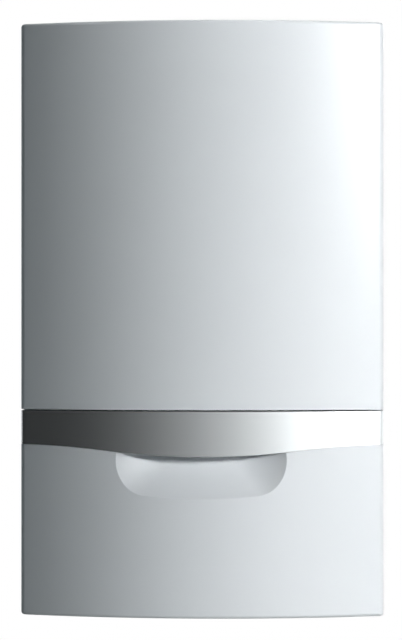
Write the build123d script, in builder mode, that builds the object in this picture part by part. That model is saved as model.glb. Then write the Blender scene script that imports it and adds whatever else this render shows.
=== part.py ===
from build123d import *
from math import sqrt
import os

# A wall-hung condensing boiler, in millimetres.
# X runs across the casing, Y into the wall and Z up, and the wall is the plane Y = 0.
# The origin lies midway between the two wall fixing holes.
# A depth is a distance in front of the wall, and a level is a height above the casing's lower edge.

# Casing
casing_width = 440
casing_height = 720
casing_depth = 338
front_bulge = 30
edge_radius = 8
rim_radius = 4
sheet = 1.2
fixing_height = 640
chassis_depth = casing_depth - 70
chassis_seam = 1
panel_fit = 0.3

# Front cover, flap and the trim band between them
cover_low = 252
flap_low = 2
flap_high = cover_low - 2
moulding = 2.5
band_thickness = 2
band_gap = 0.4
cut_margin = 5
band_low_middle = 196
band_low_end = 209.6

# Hinges of the control box and of the flap
box_pivot_depth = chassis_depth - 6
box_pivot_level = 8
flap_pivot_depth = chassis_depth + 24
flap_pivot_level = 14
pivot_radius = 4
pin_radius = 3.5
running_fit = 0.06

# Where a rectangle lies from its point
below = (Align.CENTER, Align.MAX)
above = (Align.CENTER, Align.MIN)
right_of = (Align.MIN, Align.CENTER)
left_of = (Align.MAX, Align.CENTER)
below_left = (Align.MAX, Align.MAX)
above_right = (Align.MIN, Align.MIN)
above_left = (Align.MAX, Align.MIN)
below_right = (Align.MIN, Align.MAX)

half_width = casing_width / 2
inner_half = half_width - sheet
panel_half = inner_half - panel_fit
cover_back = chassis_depth + chassis_seam
bow_radius = (half_width ** 2 + front_bulge ** 2) / (2 * front_bulge)
bow_centre = bow_radius - casing_depth


def level(height):
    """Z of a level."""
    return height - fixing_height


def flat(height):
    """Horizontal plane at a level."""
    return Plane.XY.offset(level(height))


def upright(depth):
    """Plane parallel to the wall at a depth, facing the room."""
    return Plane.XZ.offset(depth)


def across(x):
    """Plane parallel to the casing's sides."""
    return Plane.YZ.offset(x)


def front_plan(height, inset, back, corner):
    """Plan of the bowed front at a level, a given inset inside its outer face."""
    half = half_width - inset
    radius = bow_radius - inset
    shoulder = bow_centre - sqrt(radius ** 2 - half ** 2)
    with BuildSketch(flat(height)) as plan:
        with BuildLine():
            ThreePointArc((-half, shoulder), (0, bow_centre - radius), (half, shoulder))
            Polyline((half, shoulder), (half, -back), (-half, -back), (-half, shoulder))
        make_face()
        if corner > 0:
            fillet(plan.vertices().group_by(Axis.Y)[0], corner)
    return plan.sketch


def above_smile(drop):
    """Face above the band's smiling lower edge, moved down by drop."""
    half = half_width + edge_radius
    low = level(band_low_middle - drop)
    high = level(band_low_end - drop)
    top = level(cover_low + edge_radius)
    with BuildSketch(Plane.XZ) as face:
        with BuildLine():
            right = TangentArc((0, low), (half / 2, (low + high) / 2), tangent=(1, 0))
            TangentArc((half / 2, (low + high) / 2), (half, high), tangent=right % 1)
            left = TangentArc((0, low), (-half / 2, (low + high) / 2), tangent=(-1, 0))
            TangentArc((-half / 2, (low + high) / 2), (-half, high), tangent=left % 1)
            Polyline((half, high), (half, top), (-half, top), (-half, high))
        make_face()
    return face.sketch


def bent_tube(points, radius, bend):
    """A round tube along straight runs with equal bends."""
    with BuildPart() as tube:
        with BuildLine() as route:
            FilletPolyline(*points, radius=bend)
        with BuildSketch(Plane(origin=route.line @ 0, z_dir=route.line % 0)):
            Circle(radius)
        sweep()
    return tube.part


# Side panels, folded from sheet, each with a stud that carries the control box
rear_flange = 20
front_flange = 14
stud_end = half_width - 20
toe_cut = 6
with BuildPart() as right_side_panel:
    with BuildSketch(flat(0)):
        with Locations((half_width, 0)):
            Rectangle(rear_flange, chassis_depth, align=below_left)
        with Locations((inner_half, -sheet)):
            Rectangle(rear_flange, chassis_depth - 2 * sheet, align=below_left, mode=Mode.SUBTRACT)
        with Locations((half_width - front_flange, -chassis_depth)):
            Rectangle(rear_flange, 2 * sheet, align=left_of, mode=Mode.SUBTRACT)
    extrude(amount=casing_height)
    with BuildSketch(across(half_width)):
        with Locations((-chassis_depth, level(0))):
            Rectangle(2 * toe_cut, sqrt(2) * toe_cut, rotation=135)
    extrude(amount=-rear_flange, mode=Mode.SUBTRACT)
    with BuildSketch(across(stud_end)):
        with Locations((-box_pivot_depth, level(box_pivot_level))):
            Circle(pivot_radius)
    extrude(amount=inner_half - stud_end)

with BuildPart() as left_side_panel:
    mirror(right_side_panel.part, about=Plane.YZ)

# Bracket screwed to the wall, with an upturned lip
bracket_half = 160
bracket_plate = 2.5
bracket_reach = 25
lip_depth = 9
lip_rise = 15
fixing_spacing = 250
fixing_radius = 5
with BuildPart() as hanging_bracket:
    with BuildSketch(across(-bracket_half)):
        with BuildLine():
            Polyline(
                (0, -bracket_reach),
                (0, bracket_reach),
                (-lip_depth, bracket_reach),
                (-lip_depth, bracket_reach + lip_rise),
                (-lip_depth - bracket_plate, bracket_reach + lip_rise),
                (-lip_depth - bracket_plate, bracket_reach - bracket_plate),
                (-bracket_plate, bracket_reach - bracket_plate),
                (-bracket_plate, -bracket_reach),
                close=True,
            )
        make_face()
    extrude(amount=2 * bracket_half)
    with BuildSketch(upright(0)):
        with GridLocations(fixing_spacing, 0, 2, 1):
            Circle(fixing_radius)
    extrude(amount=bracket_plate, mode=Mode.SUBTRACT)

# Rear panel with the hook that hangs on the bracket's lip
rear_depth = 15
rear_low = 20
rear_high = casing_height - 20
rear_lip = 25
hook_half = 140
hook_plate = 2
hook_fit = 1
with BuildPart() as rear_panel:
    with BuildSketch(flat(rear_low)):
        with Locations((0, -rear_depth)):
            Rectangle(2 * panel_half, rear_lip, align=below)
        with Locations((0, -rear_depth - sheet)):
            Rectangle(2 * (panel_half - sheet), rear_lip, align=below, mode=Mode.SUBTRACT)
    extrude(amount=rear_high - rear_low)
    hook_seat = bracket_reach + lip_rise
    hook_inner = lip_depth - hook_fit
    with BuildSketch(across(-hook_half)):
        with BuildLine():
            Polyline(
                (-rear_depth, hook_seat + hook_plate),
                (-hook_inner + hook_plate, hook_seat + hook_plate),
                (-hook_inner + hook_plate, bracket_reach + hook_plate + hook_fit),
                (-hook_inner, bracket_reach + hook_plate + hook_fit),
                (-hook_inner, hook_seat),
                (-rear_depth, hook_seat),
                close=True,
            )
        make_face()
    extrude(amount=2 * hook_half)

# Flue position, shared by the top panel, the socket, the duct and the heat cell
flue_depth = 165
flue_bore = 30
air_bore = 50
flue_wall = 2

# Top panel
rear_edge_fit = 0.3
top_flange = 18
flange_fit = 0.3
tongue_half_width = 20
tongue_x = 150
tongue_drop = 3
tongue_thickness = 1.5
with BuildPart() as top_panel:
    front_half = half_width - front_flange - flange_fit
    side_end = chassis_depth - sheet - flange_fit
    with BuildSketch(flat(casing_height - sheet)):
        with Locations((0, -sheet - rear_edge_fit)):
            Rectangle(2 * panel_half, side_end - sheet - rear_edge_fit, align=below)
        with Locations((0, -flue_depth)):
            Rectangle(2 * front_half, chassis_depth - flue_depth, align=below)
            Circle(air_bore + flue_wall + panel_fit, mode=Mode.SUBTRACT)
    extrude(amount=sheet)
    with BuildSketch(upright(chassis_depth)):
        with Locations((0, level(casing_height - sheet))):
            Rectangle(2 * front_half, top_flange, align=below)
        with Locations((-tongue_x, 0), (tongue_x, 0)):
            with Locations((0, level(casing_height - sheet) - tongue_drop)):
                Rectangle(2 * tongue_half_width + 2, tongue_thickness + 1, mode=Mode.SUBTRACT)
    extrude(amount=-sheet)
    side_fold = rear_depth + rear_lip + sheet
    with BuildSketch(flat(casing_height - sheet)):
        with Locations((0, -side_fold)):
            Rectangle(2 * panel_half, side_end - side_fold, align=below)
            Rectangle(2 * (panel_half - sheet), side_end, align=below, mode=Mode.SUBTRACT)
    extrude(amount=-top_flange)

# Connections through the bottom panel, as distances across the casing
connection_depth = 110
heating_spacing = 200
water_spacing = 70
heating_radius = 11
water_radius = 7.5
pipe_end = 13
bead_low = 42
bead = 4
bead_rise = 2
trap_x = -45
trap_depth = 180
drain_radius = 12

# Bottom panel
bottom_level = 70
bottom_front = 205
bottom_flange = 25
hole_fit = 0.5
with BuildPart() as bottom_panel:
    bottom_rear = rear_depth + rear_lip + panel_fit
    with BuildSketch(flat(bottom_level)):
        with Locations((0, -bottom_rear)):
            Rectangle(2 * panel_half, bottom_front - bottom_rear, align=below)
        with Locations((0, -connection_depth)):
            with GridLocations(heating_spacing, 0, 2, 1):
                Circle(heating_radius + hole_fit, mode=Mode.SUBTRACT)
            with GridLocations(water_spacing / 2, 0, 3, 1):
                Circle(water_radius + hole_fit, mode=Mode.SUBTRACT)
        with Locations((trap_x, -trap_depth)):
            Circle(drain_radius + hole_fit, mode=Mode.SUBTRACT)
    extrude(amount=sheet)
    with BuildSketch(flat(bottom_level + sheet)):
        with Locations((0, -bottom_rear)):
            Rectangle(2 * panel_half, bottom_front - bottom_rear, align=below)
            Rectangle(2 * (panel_half - sheet), bottom_front, align=below, mode=Mode.SUBTRACT)
    extrude(amount=bottom_flange)
    with BuildSketch(upright(bottom_front)):
        with Locations((0, level(bottom_level))):
            Rectangle(2 * panel_half, bottom_flange, align=below)
    extrude(amount=-sheet)

# Cross rail above the control box, folded to a channel and lapped behind the side flanges
rail_low = 246
rail_high = 278
rail_web = 18
rail_lap = 10
with BuildPart() as cross_rail:
    with BuildSketch(across(-front_half)):
        with Locations((-chassis_depth, level(rail_low))):
            Rectangle(rail_web, rail_high - rail_low, align=above_right)
        with Locations((-chassis_depth + sheet, level(rail_low + sheet))):
            Rectangle(rail_web, rail_high - rail_low - 2 * sheet, align=above_right, mode=Mode.SUBTRACT)
    extrude(amount=2 * front_half)
    with BuildSketch(upright(chassis_depth - sheet)):
        with Locations((0, level((rail_low + rail_high) / 2))):
            Rectangle(2 * (front_half + rail_lap), rail_high - rail_low - 4 * sheet)
    extrude(amount=-sheet)

# Screws that hold the cross rail to the side flanges
screw_head_radius = 3.5
screw_head = 2
rail_screw_x = half_width - front_flange / 2
rail_screw_level = 259
with BuildPart() as rail_screws:
    with BuildSketch(upright(chassis_depth)):
        with Locations((-rail_screw_x, level(rail_screw_level)), (rail_screw_x, level(rail_screw_level))):
            Circle(screw_head_radius)
    extrude(amount=screw_head)
    fillet(rail_screws.faces().sort_by(Axis.Y)[:2].edges(), 0.8)

# Foam seal between the chassis and the front cover
seal_width = 10
seal_thickness = 4
seal_low = 266
seal_high = casing_height - 6
seal_half = half_width - 6
with BuildPart() as chamber_seal:
    with BuildSketch(upright(chassis_depth)):
        with Locations((0, level((seal_low + seal_high) / 2))):
            RectangleRounded(2 * seal_half, seal_high - seal_low, seal_width)
            seal_opening = seal_high - seal_low - 2 * seal_width
            Rectangle(2 * (seal_half - seal_width), seal_opening, mode=Mode.SUBTRACT)
    extrude(amount=seal_thickness)

# Spring clips on the cross rail that hold the cover's lower flange
clip_x = 150
clip_half = 10
clip_plate = 1.2
clip_reach = 16
clip_foot = 9
with BuildPart() as cover_clips:
    clip_low = cover_low + sheet + panel_fit
    with BuildSketch(across(0)) as clip_profile:
        with Locations((-chassis_depth, level(clip_low))):
            Rectangle(clip_reach, clip_plate, align=above_left)
            Rectangle(clip_plate, clip_foot, align=above_left)
    for clip_middle in (-clip_x, clip_x):
        extrude(clip_profile.sketch.moved(Location((clip_middle - clip_half, 0, 0))), amount=2 * clip_half)

# Front cover, one bowed sheet shell with two tongues that hang on the top panel
tongue_root = 300
tongue_tip = 262
tongue_front = cover_back + 8
with BuildPart() as front_cover:
    extrude(front_plan(cover_low, 0, cover_back, edge_radius), amount=casing_height - cover_low)
    cover_top = front_cover.faces().sort_by(Axis.Z)[-1]
    fillet(cover_top.edges().filter_by(lambda edge: edge.center().Y < -cover_back - 1), rim_radius)
    offset(amount=-sheet, openings=front_cover.faces().sort_by(Axis.Y)[-1])
    for tongue_middle in (-tongue_x, tongue_x):
        with BuildSketch(across(tongue_middle - tongue_half_width)):
            with Locations((-tongue_tip, level(casing_height - sheet) - tongue_drop)):
                Rectangle(tongue_root - tongue_tip, tongue_thickness, align=left_of)
            with Locations((-tongue_root, level(casing_height - sheet))):
                Rectangle(tongue_root - tongue_front, tongue_drop, align=below_right)
        extrude(amount=2 * tongue_half_width)

# Trim band, bent round both front corners with a smiling lower edge
with BuildPart() as trim_band:
    band_height = flap_high - band_low_middle
    extrude(front_plan(band_low_middle, 0, cover_back, edge_radius), amount=band_height)
    band_corner = edge_radius - band_thickness
    band_inner = front_plan(band_low_middle, band_thickness, cover_back - cut_margin, band_corner)
    extrude(band_inner, amount=band_height, mode=Mode.SUBTRACT)
    extrude(above_smile(0), amount=casing_depth + cut_margin, mode=Mode.INTERSECT)

# Grip in the middle of the flap, behind the band
grip_half_top = 136
grip_half_low = 103
grip_low = 143
grip_corner = 42
grip_depth = 32
grip_back_half_top = 70
grip_back_half_low = 54
grip_back_low = 186
grip_back_corner = 20
grip_high = 228
grip_soft = 12


def grip_outline(depth, half_top, half_low, low, corner, grow):
    """Outline of the grip at a depth, grown by a wall."""
    with BuildSketch(upright(depth)) as outline:
        with BuildLine():
            Polyline(
                (-half_top - grow, level(grip_high + grow)),
                (-half_low - grow, level(low - grow)),
                (half_low + grow, level(low - grow)),
                (half_top + grow, level(grip_high + grow)),
                close=True,
            )
        make_face()
        fillet(outline.vertices().group_by(Axis.Z)[0], corner)
    return outline.sketch


def grip_form(grow):
    """The grip's hollow as a solid, grown by a wall."""
    mouth = grip_outline(casing_depth + 2, grip_half_top, grip_half_low, grip_low, grip_corner, grow)
    floor_depth = casing_depth - grip_depth - grow
    floor = grip_outline(
        floor_depth, grip_back_half_top, grip_back_half_low, grip_back_low, grip_back_corner, grow
    )
    with BuildPart() as form:
        loft([mouth, floor], ruled=True)
        fillet(form.faces().sort_by(Axis.Y)[-1].edges(), grip_soft + grow)
    return form.part


# Front flap, moulded in one piece with the grip, the seat of the band and its hinge pins
foot_radius = 20.5
pin_boss_radius = 6
pin_end = half_width - 21
pin_boss_end = half_width - 14.5
flap_boss_x = half_width - 35
flap_boss_level = 225
flap_boss_radius = 5
catch_gap = 0.3
box_front = chassis_depth + 8
flap_floor_rear = flap_pivot_depth - 4
flap_notch = 15
seat_step = 6
foot_notch = 6
lip_setback = 1.5
with BuildPart() as grip_wall:
    add(grip_form(moulding))
    grip_bounds = front_plan(flap_low, 1, cover_back / 2, edge_radius - 1)
    extrude(grip_bounds, amount=flap_high - flap_low, mode=Mode.INTERSECT)

with BuildPart() as grip_lip:
    grip_lip_rise = flap_high - band_low_middle + cut_margin
    lip_inner = band_thickness + band_gap / 2 + moulding
    extrude(front_plan(band_low_middle - 1, -moulding, cover_back, edge_radius), amount=grip_lip_rise)
    lip_core = front_plan(band_low_middle - 1, lip_inner, cover_back - cut_margin, edge_radius - lip_inner)
    extrude(lip_core, amount=grip_lip_rise, mode=Mode.SUBTRACT)
    extrude(above_smile(-lip_setback), amount=casing_depth + cut_margin, mode=Mode.INTERSECT)

with BuildPart() as grip_hollow:
    add(grip_form(0))
    add(grip_lip.part, mode=Mode.SUBTRACT)

with BuildPart() as band_seat:
    seat_inset = band_thickness + band_gap / 2
    seat_low = band_low_middle - cut_margin
    seat_rise = cover_low - seat_low + cut_margin
    extrude(front_plan(seat_low, -1, cover_back - 1, edge_radius), amount=seat_rise)
    seat_core = front_plan(seat_low, seat_inset, cover_back - cut_margin, edge_radius - seat_inset)
    extrude(seat_core, amount=seat_rise, mode=Mode.SUBTRACT)
    extrude(above_smile(band_gap), amount=casing_depth + cut_margin, mode=Mode.INTERSECT)

with BuildPart() as front_flap:
    extrude(front_plan(flap_low, 0, cover_back, edge_radius), amount=flap_high - flap_low)
    flap_foot = front_flap.faces().sort_by(Axis.Z)[0]
    fillet(flap_foot.edges().filter_by(lambda edge: edge.center().Y < -cover_back - 1), rim_radius)
    hollow_low = flap_low + moulding
    lower_hollow = front_plan(hollow_low, moulding, cover_back - cut_margin, edge_radius - moulding)
    extrude(lower_hollow, amount=band_low_middle - seat_step - hollow_low, mode=Mode.SUBTRACT)
    upper_inset = seat_inset + moulding
    upper_hollow = front_plan(hollow_low, upper_inset, cover_back - cut_margin, edge_radius - upper_inset)
    extrude(upper_hollow, amount=flap_high - moulding - hollow_low, mode=Mode.SUBTRACT)
    add(grip_wall.part)
    add(band_seat.part, mode=Mode.SUBTRACT)
    add(grip_hollow.part, mode=Mode.SUBTRACT)
    with BuildSketch(across(-half_width)):
        with BuildLine():
            Polyline(
                (-flap_floor_rear, level(flap_low) - 1),
                (-cover_back + 1, level(flap_low) - 1),
                (-cover_back + 1, level(flap_pivot_level) + foot_notch),
                (-cover_back, level(flap_pivot_level) + foot_notch),
                (-flap_pivot_depth + foot_radius, level(flap_pivot_level)),
                (-flap_floor_rear, level(flap_pivot_level)),
                close=True,
            )
        make_face()
        with Locations((-flap_pivot_depth, level(flap_pivot_level))):
            Circle(foot_radius, mode=Mode.SUBTRACT)
    extrude(amount=casing_width, mode=Mode.SUBTRACT)
    with BuildSketch(across(-pin_boss_end)):
        with Locations((-flap_floor_rear, level(flap_low))):
            Rectangle(foot_radius, 2 * moulding + 1, align=right_of)
    extrude(amount=2 * pin_boss_end, mode=Mode.SUBTRACT)
    for side in (-1, 1):
        with BuildSketch(across(side * pin_boss_end)):
            with Locations((-flap_floor_rear, level(flap_low))):
                Rectangle(flap_notch, 2 * moulding + 1, align=left_of)
        extrude(amount=-side * (pin_boss_end - pin_end + 2), mode=Mode.SUBTRACT)
        with BuildSketch(across(side * pin_boss_end)):
            with Locations((-flap_pivot_depth, level(flap_pivot_level))):
                Circle(pin_boss_radius)
        extrude(amount=side * (half_width - moulding - pin_boss_end))
        with BuildSketch(across(side * pin_end)):
            with Locations((-flap_pivot_depth, level(flap_pivot_level))):
                Circle(pin_radius)
        extrude(amount=side * (pin_boss_end - pin_end))
        with BuildSketch(upright(box_front + screw_head + catch_gap)):
            with Locations((side * flap_boss_x, level(flap_boss_level))):
                Circle(flap_boss_radius)
        extrude(amount=casing_depth - front_bulge - box_front + 2)

# Expansion vessel, a flat drum with rounded edges on four feet against the rear panel
vessel_half = half_width - 50
vessel_low = 300
vessel_high = casing_height - 30
vessel_front = 92
vessel_wall = 2
vessel_corner = 60
vessel_rim = 18
vessel_port_depth = 56
vessel_port_radius = 4
vessel_foot = 4
vessel_foot_radius = 8
vessel_foot_x = 120
vessel_foot_rise = 130
vessel_back = rear_depth + sheet + vessel_foot
vessel_middle = (vessel_low + vessel_high) / 2
with BuildPart() as vessel_hollow:
    with BuildSketch(upright(vessel_back + vessel_wall)):
        with Locations((0, level(vessel_middle))):
            RectangleRounded(
                2 * (vessel_half - vessel_wall),
                vessel_high - vessel_low - 2 * vessel_wall,
                vessel_corner - vessel_wall,
            )
    extrude(amount=vessel_front - vessel_back - 2 * vessel_wall)
    fillet(vessel_hollow.faces().filter_by(Axis.Y).edges(), vessel_rim - vessel_wall)

with BuildPart() as expansion_vessel:
    with BuildSketch(upright(vessel_back)):
        with Locations((0, level(vessel_middle))):
            RectangleRounded(2 * vessel_half, vessel_high - vessel_low, vessel_corner)
    extrude(amount=vessel_front - vessel_back)
    fillet(expansion_vessel.faces().filter_by(Axis.Y).edges(), vessel_rim)
    add(vessel_hollow.part, mode=Mode.SUBTRACT)
    with BuildSketch(flat(vessel_low)):
        with Locations((-heating_spacing / 2, -vessel_port_depth)):
            Circle(vessel_port_radius)
    extrude(amount=2 * vessel_wall, mode=Mode.SUBTRACT)
    with BuildSketch(upright(rear_depth + sheet)):
        with Locations((0, level(vessel_middle))):
            with GridLocations(2 * vessel_foot_x, 2 * vessel_foot_rise, 2, 2):
                Circle(vessel_foot_radius)
    extrude(amount=vessel_foot + 2)

# Heat cell, a steel drum lying front to back, with its flue spigot, water stubs and drain
cell_level = casing_height - 250
cell_radius = 100
cell_back = 100
cell_front = casing_depth - 103
cell_wall = 2
cell_flange_radius = 112
cell_flange = 4
flue_spigot_top = cell_level + 130
stub_x = 60
stub_depth = 130
stub_end = cell_level - 98
drain_x = -12
drain_depth = cell_front - 35
drain_pipe_radius = 9
cell_drain_end = cell_level - 118
ear_depth = 160
ear_width = 20
ear_thickness = 8
with BuildPart() as heat_cell:
    with BuildSketch(upright(cell_back)):
        with Locations((0, level(cell_level))):
            Circle(cell_radius)
    extrude(amount=cell_front - cell_back)
    with BuildSketch(upright(cell_front)):
        with Locations((0, level(cell_level))):
            Circle(cell_flange_radius)
    extrude(amount=-cell_flange)
    fillet(heat_cell.faces().sort_by(Axis.Y)[-1].edges(), 3)
    with BuildSketch(flat(cell_level)):
        with Locations((0, -flue_depth)):
            Circle(flue_bore + flue_wall)
    extrude(amount=flue_spigot_top - cell_level)
    with BuildSketch(flat(stub_end)):
        with Locations((-stub_x, -stub_depth), (stub_x, -stub_depth)):
            Circle(heating_radius)
    extrude(amount=cell_level - stub_end)
    with BuildSketch(flat(cell_drain_end)):
        with Locations((drain_x, -drain_depth)):
            Circle(drain_pipe_radius)
    extrude(amount=cell_level - cell_drain_end)
    with BuildSketch(flat(cell_level)):
        with Locations((0, -ear_depth)):
            Rectangle(2 * (cell_radius + ear_width), ear_width)
    extrude(amount=ear_thickness)
    with BuildSketch(upright(cell_back + cell_wall)):
        with Locations((0, level(cell_level))):
            Circle(cell_radius - cell_wall)
    extrude(amount=cell_front - cell_back - cell_wall, mode=Mode.SUBTRACT)
    with BuildSketch(flat(cell_level + cell_radius - 20)):
        with Locations((0, -flue_depth)):
            Circle(flue_bore)
    extrude(amount=flue_spigot_top - cell_level - cell_radius + 20, mode=Mode.SUBTRACT)

# Shelf brackets that carry the heat cell's ears on the side panels
shelf_thickness = 2
shelf_depth = 40
shelf_rise = 60
shelf_inner = cell_radius + 8
with BuildPart() as cell_brackets:
    for side in (-1, 1):
        with BuildSketch(upright(ear_depth - shelf_depth / 2)):
            with BuildLine():
                Polyline(
                    (side * inner_half, level(cell_level)),
                    (side * shelf_inner, level(cell_level)),
                    (side * shelf_inner, level(cell_level) - shelf_thickness),
                    (side * (inner_half - shelf_thickness), level(cell_level) - shelf_thickness),
                    (side * (inner_half - shelf_thickness), level(cell_level) - shelf_rise),
                    (side * inner_half, level(cell_level) - shelf_rise),
                    close=True,
                )
            make_face()
        extrude(amount=shelf_depth)

# Flat-tube coil inside the drum, its turns joined by a thin sleeve
coil_turns = 7
coil_back = cell_back + 12
coil_front = cell_front - 11
coil_inner = 80
coil_gap = 4
coil_outer = cell_radius - cell_wall - panel_fit
with BuildPart() as cell_coil:
    coil_pitch = (coil_front - coil_back) / coil_turns
    with BuildSketch(upright(coil_back)):
        with Locations((0, level(cell_level))):
            Circle(coil_inner + 2)
            Circle(coil_inner, mode=Mode.SUBTRACT)
    extrude(amount=coil_front - coil_back)
    for turn in range(coil_turns):
        with BuildSketch(upright(coil_back + turn * coil_pitch)):
            with Locations((0, level(cell_level))):
                Circle(coil_outer)
                Circle(coil_inner, mode=Mode.SUBTRACT)
        extrude(amount=coil_pitch - coil_gap)

# Burner door, a cast cover with the mixture duct on its front
door_radius = 106
door_thickness = 12
door_bolts = 5
door_bolt_circle = 96
door_bolt_radius = 5.5
door_nut = 5
duct_depth = cell_front + 31
duct_radius = 17
duct_x = 52
duct_bend_level = cell_level + 50
duct_top = cell_level + 100
duct_bend = 30
hub_radius = 32
hub_rim = 10
door_rim = 4
hub_front = cell_front + 51
duct_flange = 5
duct_flange_width = 54
duct_flange_depth = 42
door_front = cell_front + door_thickness
electrode_x = -58
electrode_level = cell_level - 40
electrode_radius = 5
with BuildPart() as burner_door:
    with BuildSketch(upright(cell_front)):
        with Locations((0, level(cell_level))):
            Circle(door_radius)
    extrude(amount=door_thickness)
    fillet(burner_door.faces().sort_by(Axis.Y)[0].edges(), door_rim)
    with BuildSketch(upright(door_front)):
        with Locations((0, level(cell_level))):
            Circle(hub_radius)
    extrude(amount=hub_front - door_front)
    fillet(burner_door.faces().sort_by(Axis.Y)[0].edges(), hub_rim)
    duct_route = [
        (duct_x, -duct_depth, level(duct_top)),
        (duct_x, -duct_depth, level(duct_bend_level)),
        (0, -duct_depth, level(cell_level)),
    ]
    add(bent_tube(duct_route, duct_radius, duct_bend))
    with BuildSketch(flat(duct_top)):
        with Locations((duct_x, -duct_depth)):
            RectangleRounded(duct_flange_width, duct_flange_depth, 6)
    extrude(amount=-duct_flange)
    with BuildSketch(upright(cell_front)):
        with Locations((electrode_x, level(electrode_level))):
            Circle(electrode_radius + running_fit)
    extrude(amount=door_thickness + 1, mode=Mode.SUBTRACT)

# Nuts round the burner door
with BuildPart() as door_nuts:
    with BuildSketch(upright(door_front)):
        with Locations((0, level(cell_level))):
            with PolarLocations(door_bolt_circle, door_bolts, start_angle=90):
                RegularPolygon(door_bolt_radius, 6)
    extrude(amount=door_nut)

# Burner, a closed perforated tube on the door's inner face
burner_radius = 35
burner_back = cell_front - 85
burner_wall = 1.5
burner_flange_radius = 44
with BuildPart() as burner:
    with BuildSketch(upright(burner_back)):
        with Locations((0, level(cell_level))):
            Circle(burner_radius)
    extrude(amount=cell_front - burner_back)
    with BuildSketch(upright(cell_front)):
        with Locations((0, level(cell_level))):
            Circle(burner_flange_radius)
    extrude(amount=-2 * burner_wall)
    with BuildSketch(upright(burner_back + burner_wall)):
        with Locations((0, level(cell_level))):
            Circle(burner_radius - burner_wall)
    extrude(amount=cell_front - burner_back, mode=Mode.SUBTRACT)

# Ignition electrode through the door
electrode_back = cell_front - 45
electrode_front = cell_front + 37
electrode_plate = 2
electrode_pin_radius = 1.5
electrode_gap = 5
electrode_reach = 20
electrode_foot = (28, 15)
with BuildPart() as ignition_electrode:
    with BuildSketch(upright(cell_front - electrode_reach)):
        with Locations((electrode_x, level(electrode_level))):
            Circle(electrode_radius)
    extrude(amount=electrode_front - cell_front + electrode_reach)
    with BuildSketch(upright(door_front)):
        with Locations((electrode_x, level(electrode_level))):
            SlotOverall(*electrode_foot)
    extrude(amount=electrode_plate)
    with BuildSketch(upright(electrode_back)):
        with Locations((electrode_x, level(electrode_level))):
            with GridLocations(electrode_gap, 0, 2, 1):
                Circle(electrode_pin_radius)
    extrude(amount=cell_front - electrode_reach - electrode_back)

# Ignition transformer on the left side panel
ignition_width = 38
ignition_back = cell_front - 40
ignition_front = cell_front + 15
ignition_low = cell_level - 75
ignition_high = cell_level - 5
lead_x = 25 - half_width
lead_boss_radius = 6
lead_boss = 5
lead_bend = 12
with BuildPart() as ignition_unit:
    with BuildSketch(flat(ignition_low)):
        with Locations((-inner_half, -ignition_back)):
            Rectangle(ignition_width, ignition_front - ignition_back, align=below_right)
    extrude(amount=ignition_high - ignition_low)
    fillet(ignition_unit.edges().filter_by(Axis.Z).group_by(Axis.X)[-1], 5)
    with BuildSketch(upright(ignition_front)):
        with Locations((lead_x, level(electrode_level))):
            Circle(lead_boss_radius)
    extrude(amount=lead_boss)

# Ignition lead, from the transformer to the electrode
lead_radius = 3.5
lead_sag = 16
lead_middle_x = -125
lead_front = electrode_front + 16
with BuildPart() as ignition_lead:
    add(
        bent_tube(
            [
                (lead_x, -ignition_front - lead_boss, level(electrode_level)),
                (lead_x, -lead_front, level(electrode_level - lead_sag / 3)),
                (lead_middle_x, -lead_front - lead_bend / 2, level(electrode_level - lead_sag)),
                (electrode_x, -lead_front - lead_bend / 2, level(electrode_level)),
                (electrode_x, -electrode_front, level(electrode_level)),
            ],
            lead_radius,
            lead_bend,
        )
    )

# Flue duct from the heat cell to the flue socket
duct_low = flue_spigot_top - 16
duct_high = casing_height - 30
duct_collar = 12
flue_fit = 0.3
with BuildPart() as flue_duct:
    with BuildSketch(flat(duct_low)):
        with Locations((0, -flue_depth)):
            Circle(flue_bore + 2 * flue_wall + flue_fit)
            Circle(flue_bore + flue_wall + flue_fit, mode=Mode.SUBTRACT)
    extrude(amount=duct_high - duct_low)
    with BuildSketch(flat(duct_low)):
        with Locations((0, -flue_depth)):
            Circle(flue_bore + 3 * flue_wall)
            Circle(flue_bore + flue_wall + flue_fit, mode=Mode.SUBTRACT)
    extrude(amount=duct_collar)

# Flue socket on the top panel, a bore for the flue pipe inside a bore for the air pipe
socket_proud = 16
socket_low = casing_height - 26
socket_flange_radius = 66
socket_flange = 3
socket_inner_low = casing_height - 80
socket_inner_set = 6
socket_rib_rise = 10
socket_ribs = 4
socket_rib = 3
with BuildPart() as flue_socket:
    with BuildSketch(flat(socket_low)):
        with Locations((0, -flue_depth)):
            Circle(air_bore + flue_wall)
            Circle(air_bore, mode=Mode.SUBTRACT)
    extrude(amount=casing_height + socket_proud - socket_low)
    with BuildSketch(flat(casing_height)):
        with Locations((0, -flue_depth)):
            Circle(socket_flange_radius)
            Circle(air_bore, mode=Mode.SUBTRACT)
    extrude(amount=socket_flange)
    with BuildSketch(flat(socket_low)):
        with Locations((0, -flue_depth)):
            with PolarLocations(0, socket_ribs, start_angle=45):
                with Locations((flue_bore + flue_wall - 1, 0)):
                    Rectangle(air_bore - flue_bore - flue_wall + 2, socket_rib, align=right_of)
    extrude(amount=socket_rib_rise)
    with BuildSketch(flat(socket_inner_low)):
        with Locations((0, -flue_depth)):
            Circle(flue_bore + flue_wall)
            Circle(flue_bore, mode=Mode.SUBTRACT)
    extrude(amount=casing_height + socket_proud - socket_inner_set - socket_inner_low)

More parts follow.
